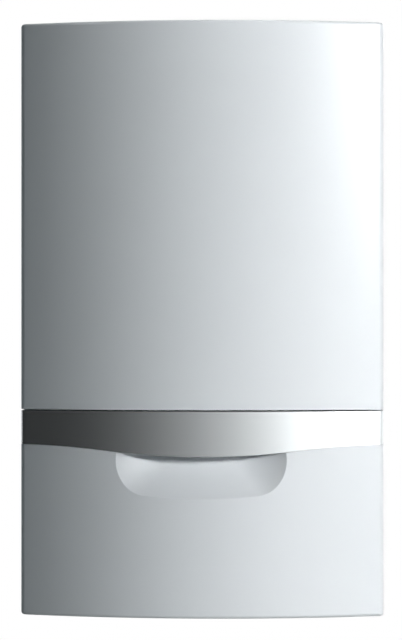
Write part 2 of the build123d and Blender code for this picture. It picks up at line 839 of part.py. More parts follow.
# Fan above the door, with its spiral housing, wheel and motor
fan_x = 92
fan_level = duct_top + 60
fan_back = cell_front + 10
fan_front = cell_front + 52
fan_radius = 58
fan_wall = 2
fan_outlet_half = 17
wheel_radius = 44
wheel_gap = 3
blade_count = 16
blade_length = 15
inlet_radius = 22
shaft_radius = 4
motor_radius = 38
motor_back = fan_back - 40
motor_end = 10
wheel_plate = 2
wheel_blade = 1.5
blade_turn = 35
wheel_hub_radius = 12
wheel_hub = 16
with BuildPart() as fan_housing:
    with BuildSketch(upright(fan_back)):
        with Locations((fan_x, level(fan_level))):
            Circle(fan_radius)
        with Locations((duct_x, level(duct_top))):
            Rectangle(2 * fan_outlet_half, fan_level - duct_top, align=above)
    extrude(amount=fan_front - fan_back)
    fan_inside = fan_front - fan_back - 2 * fan_wall
    outlet_inside = 2 * (fan_outlet_half - fan_wall)
    with BuildSketch(upright(fan_back + fan_wall)):
        with Locations((fan_x, level(fan_level))):
            Circle(fan_radius - fan_wall)
        with Locations((duct_x, level(duct_top))):
            Rectangle(outlet_inside, fan_level - duct_top, align=above)
    extrude(amount=fan_inside, mode=Mode.SUBTRACT)
    with BuildSketch(flat(duct_top)):
        with Locations((duct_x, -duct_depth)):
            RectangleRounded(duct_flange_width, duct_flange_depth, 6)
            Rectangle(outlet_inside, fan_inside, mode=Mode.SUBTRACT)
    extrude(amount=duct_flange)
    with BuildSketch(upright(fan_front - fan_wall)):
        with Locations((fan_x, level(fan_level))):
            Circle(inlet_radius)
    extrude(amount=fan_wall, mode=Mode.SUBTRACT)
    with BuildSketch(upright(fan_back)):
        with Locations((fan_x, level(fan_level))):
            Circle(shaft_radius + 2)
    extrude(amount=fan_wall, mode=Mode.SUBTRACT)

with BuildPart() as fan_wheel:
    with BuildSketch(upright(fan_back + fan_wall + wheel_gap)):
        with Locations((fan_x, level(fan_level))):
            Circle(wheel_radius)
    extrude(amount=wheel_plate)
    with BuildSketch(upright(fan_back + fan_wall + wheel_gap)):
        with Locations((fan_x, level(fan_level))):
            with PolarLocations(wheel_radius - blade_length, blade_count):
                Rectangle(blade_length, wheel_blade, rotation=blade_turn, align=right_of)
    extrude(amount=fan_front - fan_back - 2 * fan_wall - 2 * wheel_gap)
    with BuildSketch(upright(fan_back + fan_wall + wheel_gap)):
        with Locations((fan_x, level(fan_level))):
            Circle(wheel_hub_radius)
    extrude(amount=wheel_hub)
    with BuildSketch(upright(motor_back + motor_end)):
        with Locations((fan_x, level(fan_level))):
            Circle(shaft_radius)
    extrude(amount=fan_back - motor_back)

with BuildPart() as fan_motor:
    with BuildSketch(upright(motor_back)):
        with Locations((fan_x, level(fan_level))):
            Circle(motor_radius)
    extrude(amount=fan_back - motor_back)
    fillet(fan_motor.faces().sort_by(Axis.Y)[-1].edges(), 6)
    with BuildSketch(upright(motor_back + motor_end - running_fit)):
        with Locations((fan_x, level(fan_level))):
            Circle(shaft_radius + running_fit)
    extrude(amount=fan_back - motor_back, mode=Mode.SUBTRACT)

# Mixing venturi on the fan's inlet, and the air silencer beside it
venturi_radius = 30
venturi_front = fan_front + 29
air_pipe_radius = 13
air_pipe_depth = fan_front + 14
silencer_left = -150
silencer_right = 30
silencer_low = fan_level - 30
silencer_high = fan_level + 50
silencer_back = cell_front + 27
silencer_front = venturi_front
silencer_corner = 12
silencer_baffle = 6
silencer_baffle_x = 30
gas_inlet_x = 104
gas_inlet_depth = fan_front + 15
gas_inlet_end = fan_level - 42
gas_feed_radius = 6
with BuildPart() as mixing_venturi:
    with BuildSketch(upright(fan_front)):
        with Locations((fan_x, level(fan_level))):
            Circle(venturi_radius)
    extrude(amount=venturi_front - fan_front)
    fillet(mixing_venturi.faces().sort_by(Axis.Y)[0].edges(), 6)
    with BuildSketch(across(silencer_right)):
        with Locations((-air_pipe_depth, level(fan_level))):
            Circle(air_pipe_radius)
    extrude(amount=fan_x - silencer_right)
    with BuildSketch(flat(gas_inlet_end)):
        with Locations((gas_inlet_x, -gas_inlet_depth)):
            Circle(gas_feed_radius + 2)
    extrude(amount=fan_level - gas_inlet_end)

with BuildPart() as air_silencer:
    with BuildSketch(across(silencer_left)):
        with Locations((-(silencer_back + silencer_front) / 2, level((silencer_low + silencer_high) / 2))):
            RectangleRounded(silencer_front - silencer_back, silencer_high - silencer_low, silencer_corner)
    extrude(amount=silencer_right - silencer_left)
    offset(amount=-moulding, openings=air_silencer.faces().sort_by(Axis.X)[0])
    silencer_middle = level((silencer_low + silencer_high) / 2)
    baffle_depth = silencer_back + silencer_baffle / 2
    with Locations((silencer_left + silencer_baffle_x, -baffle_depth, silencer_middle)):
        Box(silencer_baffle, silencer_baffle, silencer_high - silencer_low - 2 * moulding)

# Gas valve, the gas pipe up to it and the feed pipe to the venturi
valve_x = half_width - 55
valve_width = 56
valve_back = cell_front - 3
valve_front = cell_front + 57
valve_low = cell_level - 30
valve_high = cell_level + 30
coil_can_x = 15
coil_can_back = 20
coil_can_front = 14
coil_can = 26
feed_x = 13
feed_boss = 8
valve_foot_depth = 30
valve_foot_rise = 40
gas_radius = 7.5
gas_pipe_depth = 180
gas_pipe_x = 15
gas_bend = 22
gas_first_bend = 120
gas_second_bend = 150
gas_third_bend = 140
gas_last_bend = 50
feed_bend = 14
feed_first_bend = 46
feed_second_bend = 50
coil_can_radius = 12
feed_depth = cell_front + 27
with BuildPart() as gas_valve:
    with BuildSketch(upright(valve_back)):
        with Locations((valve_x, level((valve_low + valve_high) / 2))):
            RectangleRounded(valve_width, valve_high - valve_low, 6)
    extrude(amount=valve_front - valve_back)
    with BuildSketch(flat(valve_high)):
        can_x = valve_x - coil_can_x
        with Locations((can_x, -(valve_back + coil_can_back)), (can_x, -(valve_front - coil_can_front))):
            Circle(coil_can_radius)
    extrude(amount=coil_can)
    with BuildSketch(flat(valve_high)):
        with Locations((valve_x + feed_x, -feed_depth)):
            Circle(gas_feed_radius + 4)
    extrude(amount=feed_boss)
    with BuildSketch(across(valve_x + valve_width / 2)):
        with Locations((-valve_back, level((valve_low + valve_high) / 2))):
            Rectangle(valve_foot_depth, valve_foot_rise, align=left_of)
    extrude(amount=inner_half - valve_x - valve_width / 2)

with BuildPart() as gas_feed_pipe:
    add(
        bent_tube(
            [
                (valve_x + feed_x, -feed_depth, level(valve_high + feed_boss)),
                (valve_x + feed_x, -feed_depth, level(valve_high + feed_first_bend)),
                (gas_inlet_x, -gas_inlet_depth, level(valve_high + feed_second_bend)),
                (gas_inlet_x, -gas_inlet_depth, level(gas_inlet_end)),
            ],
            gas_feed_radius,
            feed_bend,
        )
    )

with BuildPart() as gas_pipe:
    add(
        bent_tube(
            [
                (0, -connection_depth, level(pipe_end)),
                (0, -connection_depth, level(gas_first_bend)),
                (gas_pipe_x, -gas_pipe_depth, level(gas_second_bend)),
                (gas_pipe_x, -gas_pipe_depth, level(valve_low - gas_third_bend)),
                (valve_x, -feed_depth, level(valve_low - gas_last_bend)),
                (valve_x, -feed_depth, level(valve_low)),
            ],
            gas_radius,
            gas_bend,
        )
    )
    with BuildSketch(flat(bead_low)):
        with Locations((0, -connection_depth)):
            Circle(gas_radius + bead_rise)
    extrude(amount=bead)

# Plate heat exchanger, a stack of pressed plates
plate_left = -60
plate_right = 50
plate_low = 165
plate_high = 240
plate_back = 75
plate_pitch = 6
plate_gap = 1.5
plate_count = 11
plate_inset = 1.5
port_level = 212
port_radius = 12
with BuildPart() as plate_heat_exchanger:
    plate_size = (plate_right - plate_left, plate_high - plate_low)
    plate_middle = ((plate_left + plate_right) / 2, level((plate_low + plate_high) / 2))
    with BuildSketch(upright(plate_back)):
        with Locations(plate_middle):
            RectangleRounded(plate_size[0] - 2 * plate_inset, plate_size[1] - 2 * plate_inset, 16)
    extrude(amount=plate_count * plate_pitch - plate_gap)
    for plate in range(plate_count):
        with BuildSketch(upright(plate_back + plate * plate_pitch)):
            with Locations(plate_middle):
                RectangleRounded(*plate_size, 17)
        extrude(amount=plate_pitch - plate_gap)

# Diverter block on the bottom panel, with its ports
block_x = -heating_spacing / 2
block_radius = 20
block_high = 225
union_radius = 15
union_high = 235
diverter_level = 130
diverter_front = 148
branch_level = 175
branch_end = -138
hose_port_depth = 84
hose_port_level = 200
panel_top = bottom_level + sheet
with BuildPart() as diverter_block:
    with BuildSketch(flat(panel_top)):
        with Locations((block_x, -connection_depth)):
            Circle(block_radius)
    extrude(amount=block_high - panel_top)
    fillet(diverter_block.faces().sort_by(Axis.Z)[-1].edges(), 4)
    with BuildSketch(flat(block_high)):
        with Locations((block_x, -connection_depth)):
            RegularPolygon(union_radius, 6)
    extrude(amount=union_high - block_high)
    with BuildSketch(across(plate_left)):
        with Locations((-connection_depth, level(port_level))):
            Circle(port_radius)
    extrude(amount=block_x - plate_left)
    with BuildSketch(upright(connection_depth)):
        with Locations((block_x, level(diverter_level))):
            Circle(block_radius - 3)
    extrude(amount=diverter_front - connection_depth)
    with BuildSketch(across(branch_end)):
        with Locations((-connection_depth, level(branch_level))):
            Circle(port_radius - 3)
    extrude(amount=block_x - branch_end)
    with BuildSketch(upright(hose_port_depth)):
        with Locations((block_x, level(hose_port_level))):
            Circle(port_radius - 3)
    extrude(amount=connection_depth - hose_port_depth)

# Diverter motor on the front of the block
diverter_width = 46
diverter_rise = 52
diverter_length = 54
with BuildPart() as diverter_motor:
    with BuildSketch(upright(diverter_front)):
        with Locations((block_x, level(diverter_level))):
            RectangleRounded(diverter_width, diverter_rise, 6)
    extrude(amount=diverter_length)
    fillet(diverter_motor.faces().sort_by(Axis.Y)[0].edges(), 3)

# Safety valve on the block's left branch, with a turning knob
relief_x = -152
relief_radius = 14
relief_front = 140
relief_outlet = 55
knob_radius = 16
knob_length = 18
knob_lobes = 8
knob_spindle = 4
with BuildPart() as safety_valve:
    with BuildSketch(across(branch_end)):
        with Locations((-connection_depth, level(branch_level))):
            Circle(port_radius - 3)
    extrude(amount=relief_x - branch_end)
    with BuildSketch(upright(connection_depth - relief_radius)):
        with Locations((relief_x, level(branch_level))):
            Circle(relief_radius)
    extrude(amount=relief_front - connection_depth + relief_radius)
    with BuildSketch(flat(branch_level)):
        with Locations((relief_x, -connection_depth)):
            Circle(port_radius - 3)
    extrude(amount=-relief_outlet)
    with BuildSketch(upright(relief_front)):
        with Locations((relief_x, level(branch_level))):
            Circle(knob_spindle)
    extrude(amount=knob_length - 6)

with BuildPart() as safety_valve_knob:
    with BuildSketch(upright(relief_front + panel_fit)):
        with Locations((relief_x, level(branch_level))):
            Circle(knob_radius)
            with PolarLocations(knob_radius + 2, knob_lobes):
                Circle(4, mode=Mode.SUBTRACT)
    extrude(amount=knob_length)
    with BuildSketch(upright(relief_front + panel_fit)):
        with Locations((relief_x, level(branch_level))):
            Circle(knob_spindle + running_fit)
    extrude(amount=knob_length - 5, mode=Mode.SUBTRACT)

# Pump, its housing on the bottom panel and its motor facing the room
pump_x = heating_spacing / 2
pump_level = 165
pump_radius = 37
pump_half = 18
pump_motor_radius = 32
pump_motor_front = 204
vent_radius = 9
vent_x = 28
vent_rise = 62
motor_box_width = 46
motor_box_rise = 24
motor_box_back = 12
motor_box_length = 50
with BuildPart() as pump_housing:
    with BuildSketch(upright(connection_depth - pump_half)):
        with Locations((pump_x, level(pump_level))):
            Circle(pump_radius)
    extrude(amount=2 * pump_half)
    fillet(pump_housing.faces().sort_by(Axis.Y)[-1].edges(), 6)
    with BuildSketch(flat(panel_top)):
        with Locations((pump_x, -connection_depth)):
            Circle(block_radius - 3)
    extrude(amount=pump_level - panel_top)
    with BuildSketch(flat(pump_level)):
        with Locations((pump_x, -connection_depth)):
            Circle(block_radius - 4)
    extrude(amount=block_high - pump_level)
    with BuildSketch(flat(block_high)):
        with Locations((pump_x, -connection_depth)):
            RegularPolygon(union_radius, 6)
    extrude(amount=union_high - block_high)
    with BuildSketch(across(plate_right)):
        with Locations((-connection_depth, level(port_level))):
            Circle(port_radius)
    extrude(amount=pump_x - plate_right)
    with BuildSketch(flat(pump_level)):
        with Locations((pump_x + vent_x, -connection_depth)):
            Circle(vent_radius)
    extrude(amount=vent_rise)

with BuildPart() as pump_motor:
    with BuildSketch(upright(connection_depth + pump_half)):
        with Locations((pump_x, level(pump_level))):
            Circle(pump_motor_radius)
    extrude(amount=pump_motor_front - connection_depth - pump_half)
    fillet(pump_motor.faces().sort_by(Axis.Y)[0].edges(), 5)
    with BuildSketch(upright(connection_depth + pump_half + motor_box_back)):
        with Locations((pump_x, level(pump_level + pump_motor_radius))):
            RectangleRounded(motor_box_width, motor_box_rise, 4)
    extrude(amount=motor_box_length)

# Pipes between the heat cell, the block, the pump and the vessel
pipe_bend = 24
pipe_first_bend = 0.4
pipe_second_bend = 0.65
with BuildPart() as flow_pipe:
    pipe_rise = stub_end - union_high
    add(
        bent_tube(
            [
                (block_x, -connection_depth, level(union_high)),
                (block_x, -connection_depth, level(union_high + pipe_first_bend * pipe_rise)),
                (-stub_x, -stub_depth, level(union_high + pipe_second_bend * pipe_rise)),
                (-stub_x, -stub_depth, level(stub_end)),
            ],
            heating_radius,
            pipe_bend,
        )
    )

with BuildPart() as return_pipe:
    mirror(flow_pipe.part, about=Plane.YZ)

hose_radius = 6
hose_bend = 14
with BuildPart() as vessel_hose:
    add(
        bent_tube(
            [
                (block_x, -vessel_port_depth, level(vessel_low)),
                (block_x, -vessel_port_depth, level(hose_port_level)),
                (block_x, -hose_port_depth, level(hose_port_level)),
            ],
            hose_radius,
            hose_bend,
        )
    )

# Condensate trap, with its drain through the bottom panel
trap_radius = 27
trap_low = 95
trap_high = 205
trap_cap_radius = 18
trap_cap = 215
trap_neck_radius = 16
drain_step = 55
drain_end = 30
drain_fit_radius = 11
drain_hose_bend = 20
with BuildPart() as condensate_trap:
    with BuildSketch(flat(trap_low)):
        with Locations((trap_x, -trap_depth)):
            Circle(trap_radius)
    extrude(amount=trap_high - trap_low)
    fillet(condensate_trap.faces().filter_by(Axis.Z).edges(), 5)
    with BuildSketch(flat(panel_top)):
        with Locations((trap_x, -trap_depth)):
            Circle(trap_neck_radius)
    extrude(amount=trap_low - panel_top)
    with BuildSketch(flat(trap_high)):
        with Locations((trap_x, -trap_depth)):
            Circle(trap_cap_radius)
    extrude(amount=trap_cap - trap_high)
    with BuildSketch(flat(drain_step)):
        with Locations((trap_x, -trap_depth)):
            Circle(drain_radius)
    extrude(amount=panel_top - drain_step)
    with BuildSketch(flat(drain_end)):
        with Locations((trap_x, -trap_depth)):
            Circle(drain_fit_radius)
    extrude(amount=drain_step - drain_end)
    with BuildSketch(flat(drain_end)):
        with Locations((trap_x, -trap_depth)):
            Circle(drain_fit_radius - 2)
    extrude(amount=drain_step - drain_end, mode=Mode.SUBTRACT)

with BuildPart() as condensate_hose:
    hose_rise = cell_drain_end - trap_cap
    add(
        bent_tube(
            [
                (trap_x, -trap_depth, level(trap_cap)),
                (trap_x, -trap_depth, level(trap_cap + pipe_first_bend * hose_rise)),
                (drain_x, -drain_depth, level(trap_cap + pipe_second_bend * hose_rise)),
                (drain_x, -drain_depth, level(cell_drain_end)),
            ],
            drain_pipe_radius,
            drain_hose_bend,
        )
    )

# Pipe tails below the casing, each with a bead above its free end, and their union nuts
tail_wall = 1
nut_low = 48
nut_height = 16
nut_fit = 0.3
nut_grip = 1.5
with BuildPart() as heating_tails:
    for height, radius, rise in (
        (pipe_end, heating_radius, panel_top - pipe_end),
        (bead_low, heating_radius + bead_rise, bead),
    ):
        with BuildSketch(flat(height)):
            with Locations((0, -connection_depth)):
                with GridLocations(heating_spacing, 0, 2, 1):
                    Circle(radius)
        extrude(amount=rise)
    with BuildSketch(flat(pipe_end)):
        with Locations((0, -connection_depth)):
            with GridLocations(heating_spacing, 0, 2, 1):
                Circle(heating_radius - tail_wall)
    extrude(amount=panel_top - pipe_end, mode=Mode.SUBTRACT)

with BuildPart() as water_tails:
    for height, radius, rise in (
        (pipe_end, water_radius, plate_low - pipe_end),
        (bead_low, water_radius + bead_rise, bead),
    ):
        with BuildSketch(flat(height)):
            with Locations((0, -connection_depth)):
                with GridLocations(water_spacing, 0, 2, 1):
                    Circle(radius)
        extrude(amount=rise)
    with BuildSketch(flat(pipe_end)):
        with Locations((0, -connection_depth)):
            with GridLocations(water_spacing, 0, 2, 1):
                Circle(water_radius - tail_wall)
    extrude(amount=plate_low - pipe_end, mode=Mode.SUBTRACT)

with BuildPart() as union_nuts:
    for pattern, count, radius in (
        (heating_spacing, 2, heating_radius),
        (water_spacing / 2, 3, water_radius),
    ):
        with BuildSketch(flat(nut_low)):
            with Locations((0, -connection_depth)):
                with GridLocations(pattern, 0, count, 1):
                    RegularPolygon(nut_grip * radius + 2, 6)
                    Circle(radius + nut_fit, mode=Mode.SUBTRACT)
        extrude(amount=nut_height)

# Control box, hinged at its foot on the side panels, with cheeks that carry the flap
box_half = half_width - 22
box_back = box_front - 58
box_low = 12
box_high = 236
box_wall = 2.5
cheek = 6
cheek_radius = 7
cheek_back = box_pivot_depth - 7
cheek_level = 70
fascia_half = box_half - 33
fascia_low = 90
fascia_high = 210
fascia_thickness = 2.5
fascia_lap = 10
box_pivot = (-box_pivot_depth, level(box_pivot_level))
flap_pivot = (-flap_pivot_depth, level(flap_pivot_level))
fascia_middle = level((fascia_low + fascia_high) / 2)
with BuildPart() as control_box:
    with BuildSketch(upright(box_back)):
        with Locations((0, level((box_low + box_high) / 2))):
            RectangleRounded(2 * box_half, box_high - box_low, 6)
    extrude(amount=box_front - box_back)
    fillet(control_box.faces().sort_by(Axis.Y)[0].edges(), 2)
    with BuildSketch(upright(box_back)):
        with Locations((0, level((box_low + box_high) / 2))):
            RectangleRounded(2 * (box_half - box_wall), box_high - box_low - 2 * box_wall, 3)
    extrude(amount=box_front - box_back - box_wall, mode=Mode.SUBTRACT)
    with BuildSketch(upright(box_front)):
        with Locations((0, fascia_middle)):
            Rectangle(2 * (fascia_half - fascia_lap), fascia_high - fascia_low - 2 * fascia_lap)
    extrude(amount=-box_wall, mode=Mode.SUBTRACT)
    for side in (-1, 1):
        with BuildSketch(across(side * box_half)):
            with Locations(box_pivot, flap_pivot, (-cheek_back, level(cheek_level))):
                Circle(cheek_radius)
            make_hull()
            with Locations(box_pivot):
                Circle(pivot_radius + running_fit, mode=Mode.SUBTRACT)
            with Locations(flap_pivot):
                Circle(pin_radius + running_fit, mode=Mode.SUBTRACT)
        extrude(amount=side * cheek)

# Lid on the back of the control box, with posts for the main board
lid_thickness = 3
post_radius = 4
post_height = 8
post_x = box_half - 58
post_spread = 150
board_thickness = 1.6
with BuildPart() as control_box_lid:
    with BuildSketch(upright(box_back - lid_thickness)):
        with Locations((0, level((box_low + box_high) / 2))):
            RectangleRounded(2 * box_half, box_high - box_low, 6)
    extrude(amount=lid_thickness)
    with BuildSketch(upright(box_back)):
        with Locations((0, level((box_low + box_high) / 2))):
            with GridLocations(2 * post_x, post_spread, 2, 2):
                Circle(post_radius)
    extrude(amount=post_height)

# Places of the display, the gauge and the buttons on the fascia
display_x = -5
display_level = 162
display_width = 92
display_rise = 56
window_fit = 0.2
gauge_x = 53 - fascia_half
gauge_radius = 25
gauge_level = display_level - 10
key_width = 18
key_rise = 10
key_fit = 0.3
power_x = fascia_half - 33
post_left = -75
post_right = fascia_half - 20
post_high = 192
post_middle = 140
post_low = 108
board_post_radius = 3
board_post = 6
key_places = {
    "reset_button": (-40, 112),
    "minus_button": (62, display_level),
    "plus_button": (92, display_level),
    "power_button": (power_x, 112),
}
with BuildPart() as control_fascia:
    with BuildSketch(upright(box_front)):
        with Locations((0, fascia_middle)):
            RectangleRounded(2 * fascia_half, fascia_high - fascia_low, 8)
        with Locations((display_x, level(display_level))):
            Rectangle(display_width, display_rise, mode=Mode.SUBTRACT)
        with Locations((gauge_x, level(gauge_level))):
            Circle(gauge_radius + window_fit, mode=Mode.SUBTRACT)
        for key_x, key_height in key_places.values():
            with Locations((key_x, level(key_height))):
                RectangleRounded(key_width + 2 * key_fit, key_rise + 2 * key_fit, 3, mode=Mode.SUBTRACT)
    extrude(amount=fascia_thickness)
    with BuildSketch(upright(box_front)):
        with Locations((post_left, level(post_high)), (post_right, level(post_high))):
            Circle(board_post_radius)
        with Locations((post_left, level(post_low)), (post_right, level(post_middle))):
            Circle(board_post_radius)
    extrude(amount=-board_post)

# Clear windows over the display and the gauge
window_thickness = 2
gauge_front = box_front + 5
gauge_back = box_front - 36
gauge_rim = 2
dial_depth = box_front - 1
lens_thickness = 1.2
lens_front = box_front + 4.5
with BuildPart() as clear_windows:
    with BuildSketch(upright(box_front + fascia_thickness)):
        with Locations((display_x, level(display_level))):
            Rectangle(display_width - 2 * window_fit, display_rise - 2 * window_fit)
    extrude(amount=-window_thickness)
    with BuildSketch(upright(lens_front)):
        with Locations((gauge_x, level(gauge_level))):
            Circle(gauge_radius - gauge_rim - window_fit)
    extrude(amount=-lens_thickness)

# Pressure gauge with a pin for its needle
needle_pin_radius = 1.2
needle_back = box_front
needle_width = 3.5
needle_taper = 87
needle_thickness = 1
needle_length = 18
needle_tail = 6
needle_hub = 4
with BuildPart() as pressure_gauge:
    with BuildSketch(upright(gauge_back)):
        with Locations((gauge_x, level(gauge_level))):
            Circle(gauge_radius)
    extrude(amount=gauge_front - gauge_back)
    with BuildSketch(upright(dial_depth)):
        with Locations((gauge_x, level(gauge_level))):
            Circle(gauge_radius - gauge_rim)
            Circle(needle_pin_radius, mode=Mode.SUBTRACT)
    extrude(amount=gauge_front - dial_depth, mode=Mode.SUBTRACT)
    with BuildSketch(upright(gauge_front)):
        with Locations((gauge_x, level(gauge_level))):
            Circle(needle_pin_radius)
    extrude(amount=-(gauge_front - needle_back - 2), mode=Mode.SUBTRACT)

with BuildPart() as gauge_needle:
    with BuildSketch(upright(needle_back)):
        with Locations((gauge_x, level(gauge_level))):
            Circle(needle_hub)
            Trapezoid(needle_width, needle_length, needle_taper, rotation=135, align=above)
            Rectangle(needle_width, needle_tail, rotation=-45, align=above)
            Circle(needle_pin_radius + running_fit, mode=Mode.SUBTRACT)
    extrude(amount=needle_thickness)

# Main board on the lid's posts and display board on the fascia's posts
board_width = 2 * box_half - 96
board_rise = 176
supply = (52, 42, 30)
supply_x = -110
supply_level = 70
relay = (20, 24, 16)
relay_count = 4
relay_pitch = 30
relay_x = 30
relay_level = 60
plug_strip = (200, 14, 12)
plug_x = 20
plug_level = 200
display_board = (232, 96)
display_set = 4
with BuildPart() as circuit_boards:
    main_front = box_back + post_height + board_thickness
    with BuildSketch(upright(box_back + post_height)):
        with Locations((0, level((box_low + box_high) / 2))):
            Rectangle(board_width, board_rise)
    extrude(amount=board_thickness)
    with BuildSketch(upright(main_front)):
        with Locations((supply_x, level(supply_level))):
            Rectangle(supply[0], supply[1])
    extrude(amount=supply[2])
    with BuildSketch(upright(main_front)):
        with Locations((relay_x, level(relay_level))):
            with GridLocations(relay_pitch, 0, relay_count, 1):
                Rectangle(relay[0], relay[1])
    extrude(amount=relay[2])
    with BuildSketch(upright(main_front)):
        with Locations((plug_x, level(plug_level))):
            Rectangle(plug_strip[0], plug_strip[1])
    extrude(amount=plug_strip[2])
    with BuildSketch(upright(box_front - board_post)):
        with Locations(((post_left + post_right) / 2, level((post_high + post_low) / 2))):
            Rectangle(*display_board)
    extrude(amount=-board_thickness)
    with BuildSketch(upright(box_front - board_post)):
        with Locations((display_x, level(display_level))):
            Rectangle(display_width - 2 * display_set, display_rise - 2 * display_set)
    extrude(amount=board_post - 1)

# Catch discs on the control box, opposite the flap's bosses
with BuildPart() as flap_catches:
    with BuildSketch(upright(box_front)):
        with Locations((-flap_boss_x, level(flap_boss_level)), (flap_boss_x, level(flap_boss_level))):
            Circle(flap_boss_radius)
    extrude(amount=screw_head)

# Press keys, each with a collar behind the fascia
key_front = box_front + 5
key_collar = 2
key_collar_thickness = 1.4
key_play = 0.2


def press_key(key_x, key_height):
    """One key through the fascia."""
    with BuildPart() as key:
        with BuildSketch(upright(box_front - key_play - key_collar_thickness)):
            with Locations((key_x, level(key_height))):
                RectangleRounded(key_width, key_rise, 3)
        extrude(amount=key_front - box_front + key_play + key_collar_thickness)
        fillet(key.faces().sort_by(Axis.Y)[0].edges(), 0.8)
        with BuildSketch(upright(box_front - key_play)):
            with Locations((key_x, level(key_height))):
                RectangleRounded(key_width + 2 * key_collar, key_rise + 2 * key_collar, 4)
        extrude(amount=-key_collar_thickness)
    return key


keys = {}
for key_name, key_place in key_places.items():
    keys[key_name] = press_key(*key_place)

os.makedirs("parts", exist_ok=True)
finished = {
    "right_side_panel": right_side_panel,
    "left_side_panel": left_side_panel,
    "hanging_bracket": hanging_bracket,
    "rear_panel": rear_panel,
    "top_panel": top_panel,
    "bottom_panel": bottom_panel,
    "cross_rail": cross_rail,
    "rail_screws": rail_screws,
    "chamber_seal": chamber_seal,
    "cover_clips": cover_clips,
    "front_cover": front_cover,
    "trim_band": trim_band,
    "front_flap": front_flap,
    "expansion_vessel": expansion_vessel,
    "vessel_hose": vessel_hose,
    "heat_cell": heat_cell,
    "cell_brackets": cell_brackets,
    "cell_coil": cell_coil,
    "burner_door": burner_door,
    "door_nuts": door_nuts,
    "burner": burner,
    "ignition_electrode": ignition_electrode,
    "ignition_unit": ignition_unit,
    "ignition_lead": ignition_lead,
    "flue_duct": flue_duct,
    "flue_socket": flue_socket,
    "fan_housing": fan_housing,
    "fan_wheel": fan_wheel,
    "fan_motor": fan_motor,
    "mixing_venturi": mixing_venturi,
    "air_silencer": air_silencer,
    "gas_valve": gas_valve,
    "gas_feed_pipe": gas_feed_pipe,
    "gas_pipe": gas_pipe,
    "plate_heat_exchanger": plate_heat_exchanger,
    "diverter_block": diverter_block,
    "diverter_motor": diverter_motor,
    "safety_valve": safety_valve,
    "safety_valve_knob": safety_valve_knob,
    "pump_housing": pump_housing,
    "pump_motor": pump_motor,
    "flow_pipe": flow_pipe,
    "return_pipe": return_pipe,
    "condensate_trap": condensate_trap,
    "condensate_hose": condensate_hose,
    "heating_tails": heating_tails,
    "water_tails": water_tails,
    "union_nuts": union_nuts,
    "control_box": control_box,
    "control_box_lid": control_box_lid,
    "control_fascia": control_fascia,
    "clear_windows": clear_windows,
    "pressure_gauge": pressure_gauge,
    "gauge_needle": gauge_needle,
    "circuit_boards": circuit_boards,
    "flap_catches": flap_catches,
    **keys,
}
for name, piece in finished.items():
    piece.part.label = name
    export_step(piece.part, f"parts/{name}.step")
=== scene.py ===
"""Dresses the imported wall-hung condensing boiler: finishes, small details, studio and camera."""
import logging
import math
from dataclasses import dataclass, field
from enum import Enum

import bmesh
import bpy
from mathutils import Matrix, Vector


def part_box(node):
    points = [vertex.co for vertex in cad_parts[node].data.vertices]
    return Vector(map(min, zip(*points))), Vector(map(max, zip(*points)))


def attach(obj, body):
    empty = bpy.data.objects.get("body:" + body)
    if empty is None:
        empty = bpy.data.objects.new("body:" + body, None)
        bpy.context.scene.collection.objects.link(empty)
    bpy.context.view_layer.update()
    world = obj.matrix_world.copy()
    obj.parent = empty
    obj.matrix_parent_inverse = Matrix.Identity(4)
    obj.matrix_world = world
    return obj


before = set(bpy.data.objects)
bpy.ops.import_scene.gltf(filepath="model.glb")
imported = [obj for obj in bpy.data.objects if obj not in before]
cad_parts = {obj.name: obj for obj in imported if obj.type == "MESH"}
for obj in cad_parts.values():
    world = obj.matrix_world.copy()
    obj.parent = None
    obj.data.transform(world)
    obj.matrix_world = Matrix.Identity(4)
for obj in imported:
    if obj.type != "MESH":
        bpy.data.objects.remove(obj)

LOG = logging.getLogger("boiler")
Colour = tuple[float, float, float]
Point = tuple[float, float, float]
MOTTLE_SCALE = 9.0
RAMP_ENDS = (0.3, 0.7)
BRUSH_STRETCH = (0.03, 1.0, 1.0)
COAT_ROUGHNESS = 0.12
WELD_DISTANCE = 0.00001


class Grain(Enum):
    """Kinds of surface texture that a finish can carry."""

    PEEL = "peel"
    BRUSHED = "brushed"
    SPANGLE = "spangle"
    CAST = "cast"
    TARNISH = "tarnish"
    MOULDED = "moulded"


def new_node(tree: bpy.types.NodeTree, kind: str, values: dict[str | int, object] | None = None,
             operation: str = "") -> bpy.types.Node:
    """Adds a node to a tree and sets it.

    Args:
        tree: The tree that takes the node.
        kind: Type of the node.
        values: Value of each input that isn't left as it comes.
        operation: Operation of a math node.

    Returns:
        The new node.
    """
    node = tree.nodes.new(kind)
    if operation:
        node.operation = operation
    for name, value in (values or {}).items():
        node.inputs[name].default_value = value
    return node


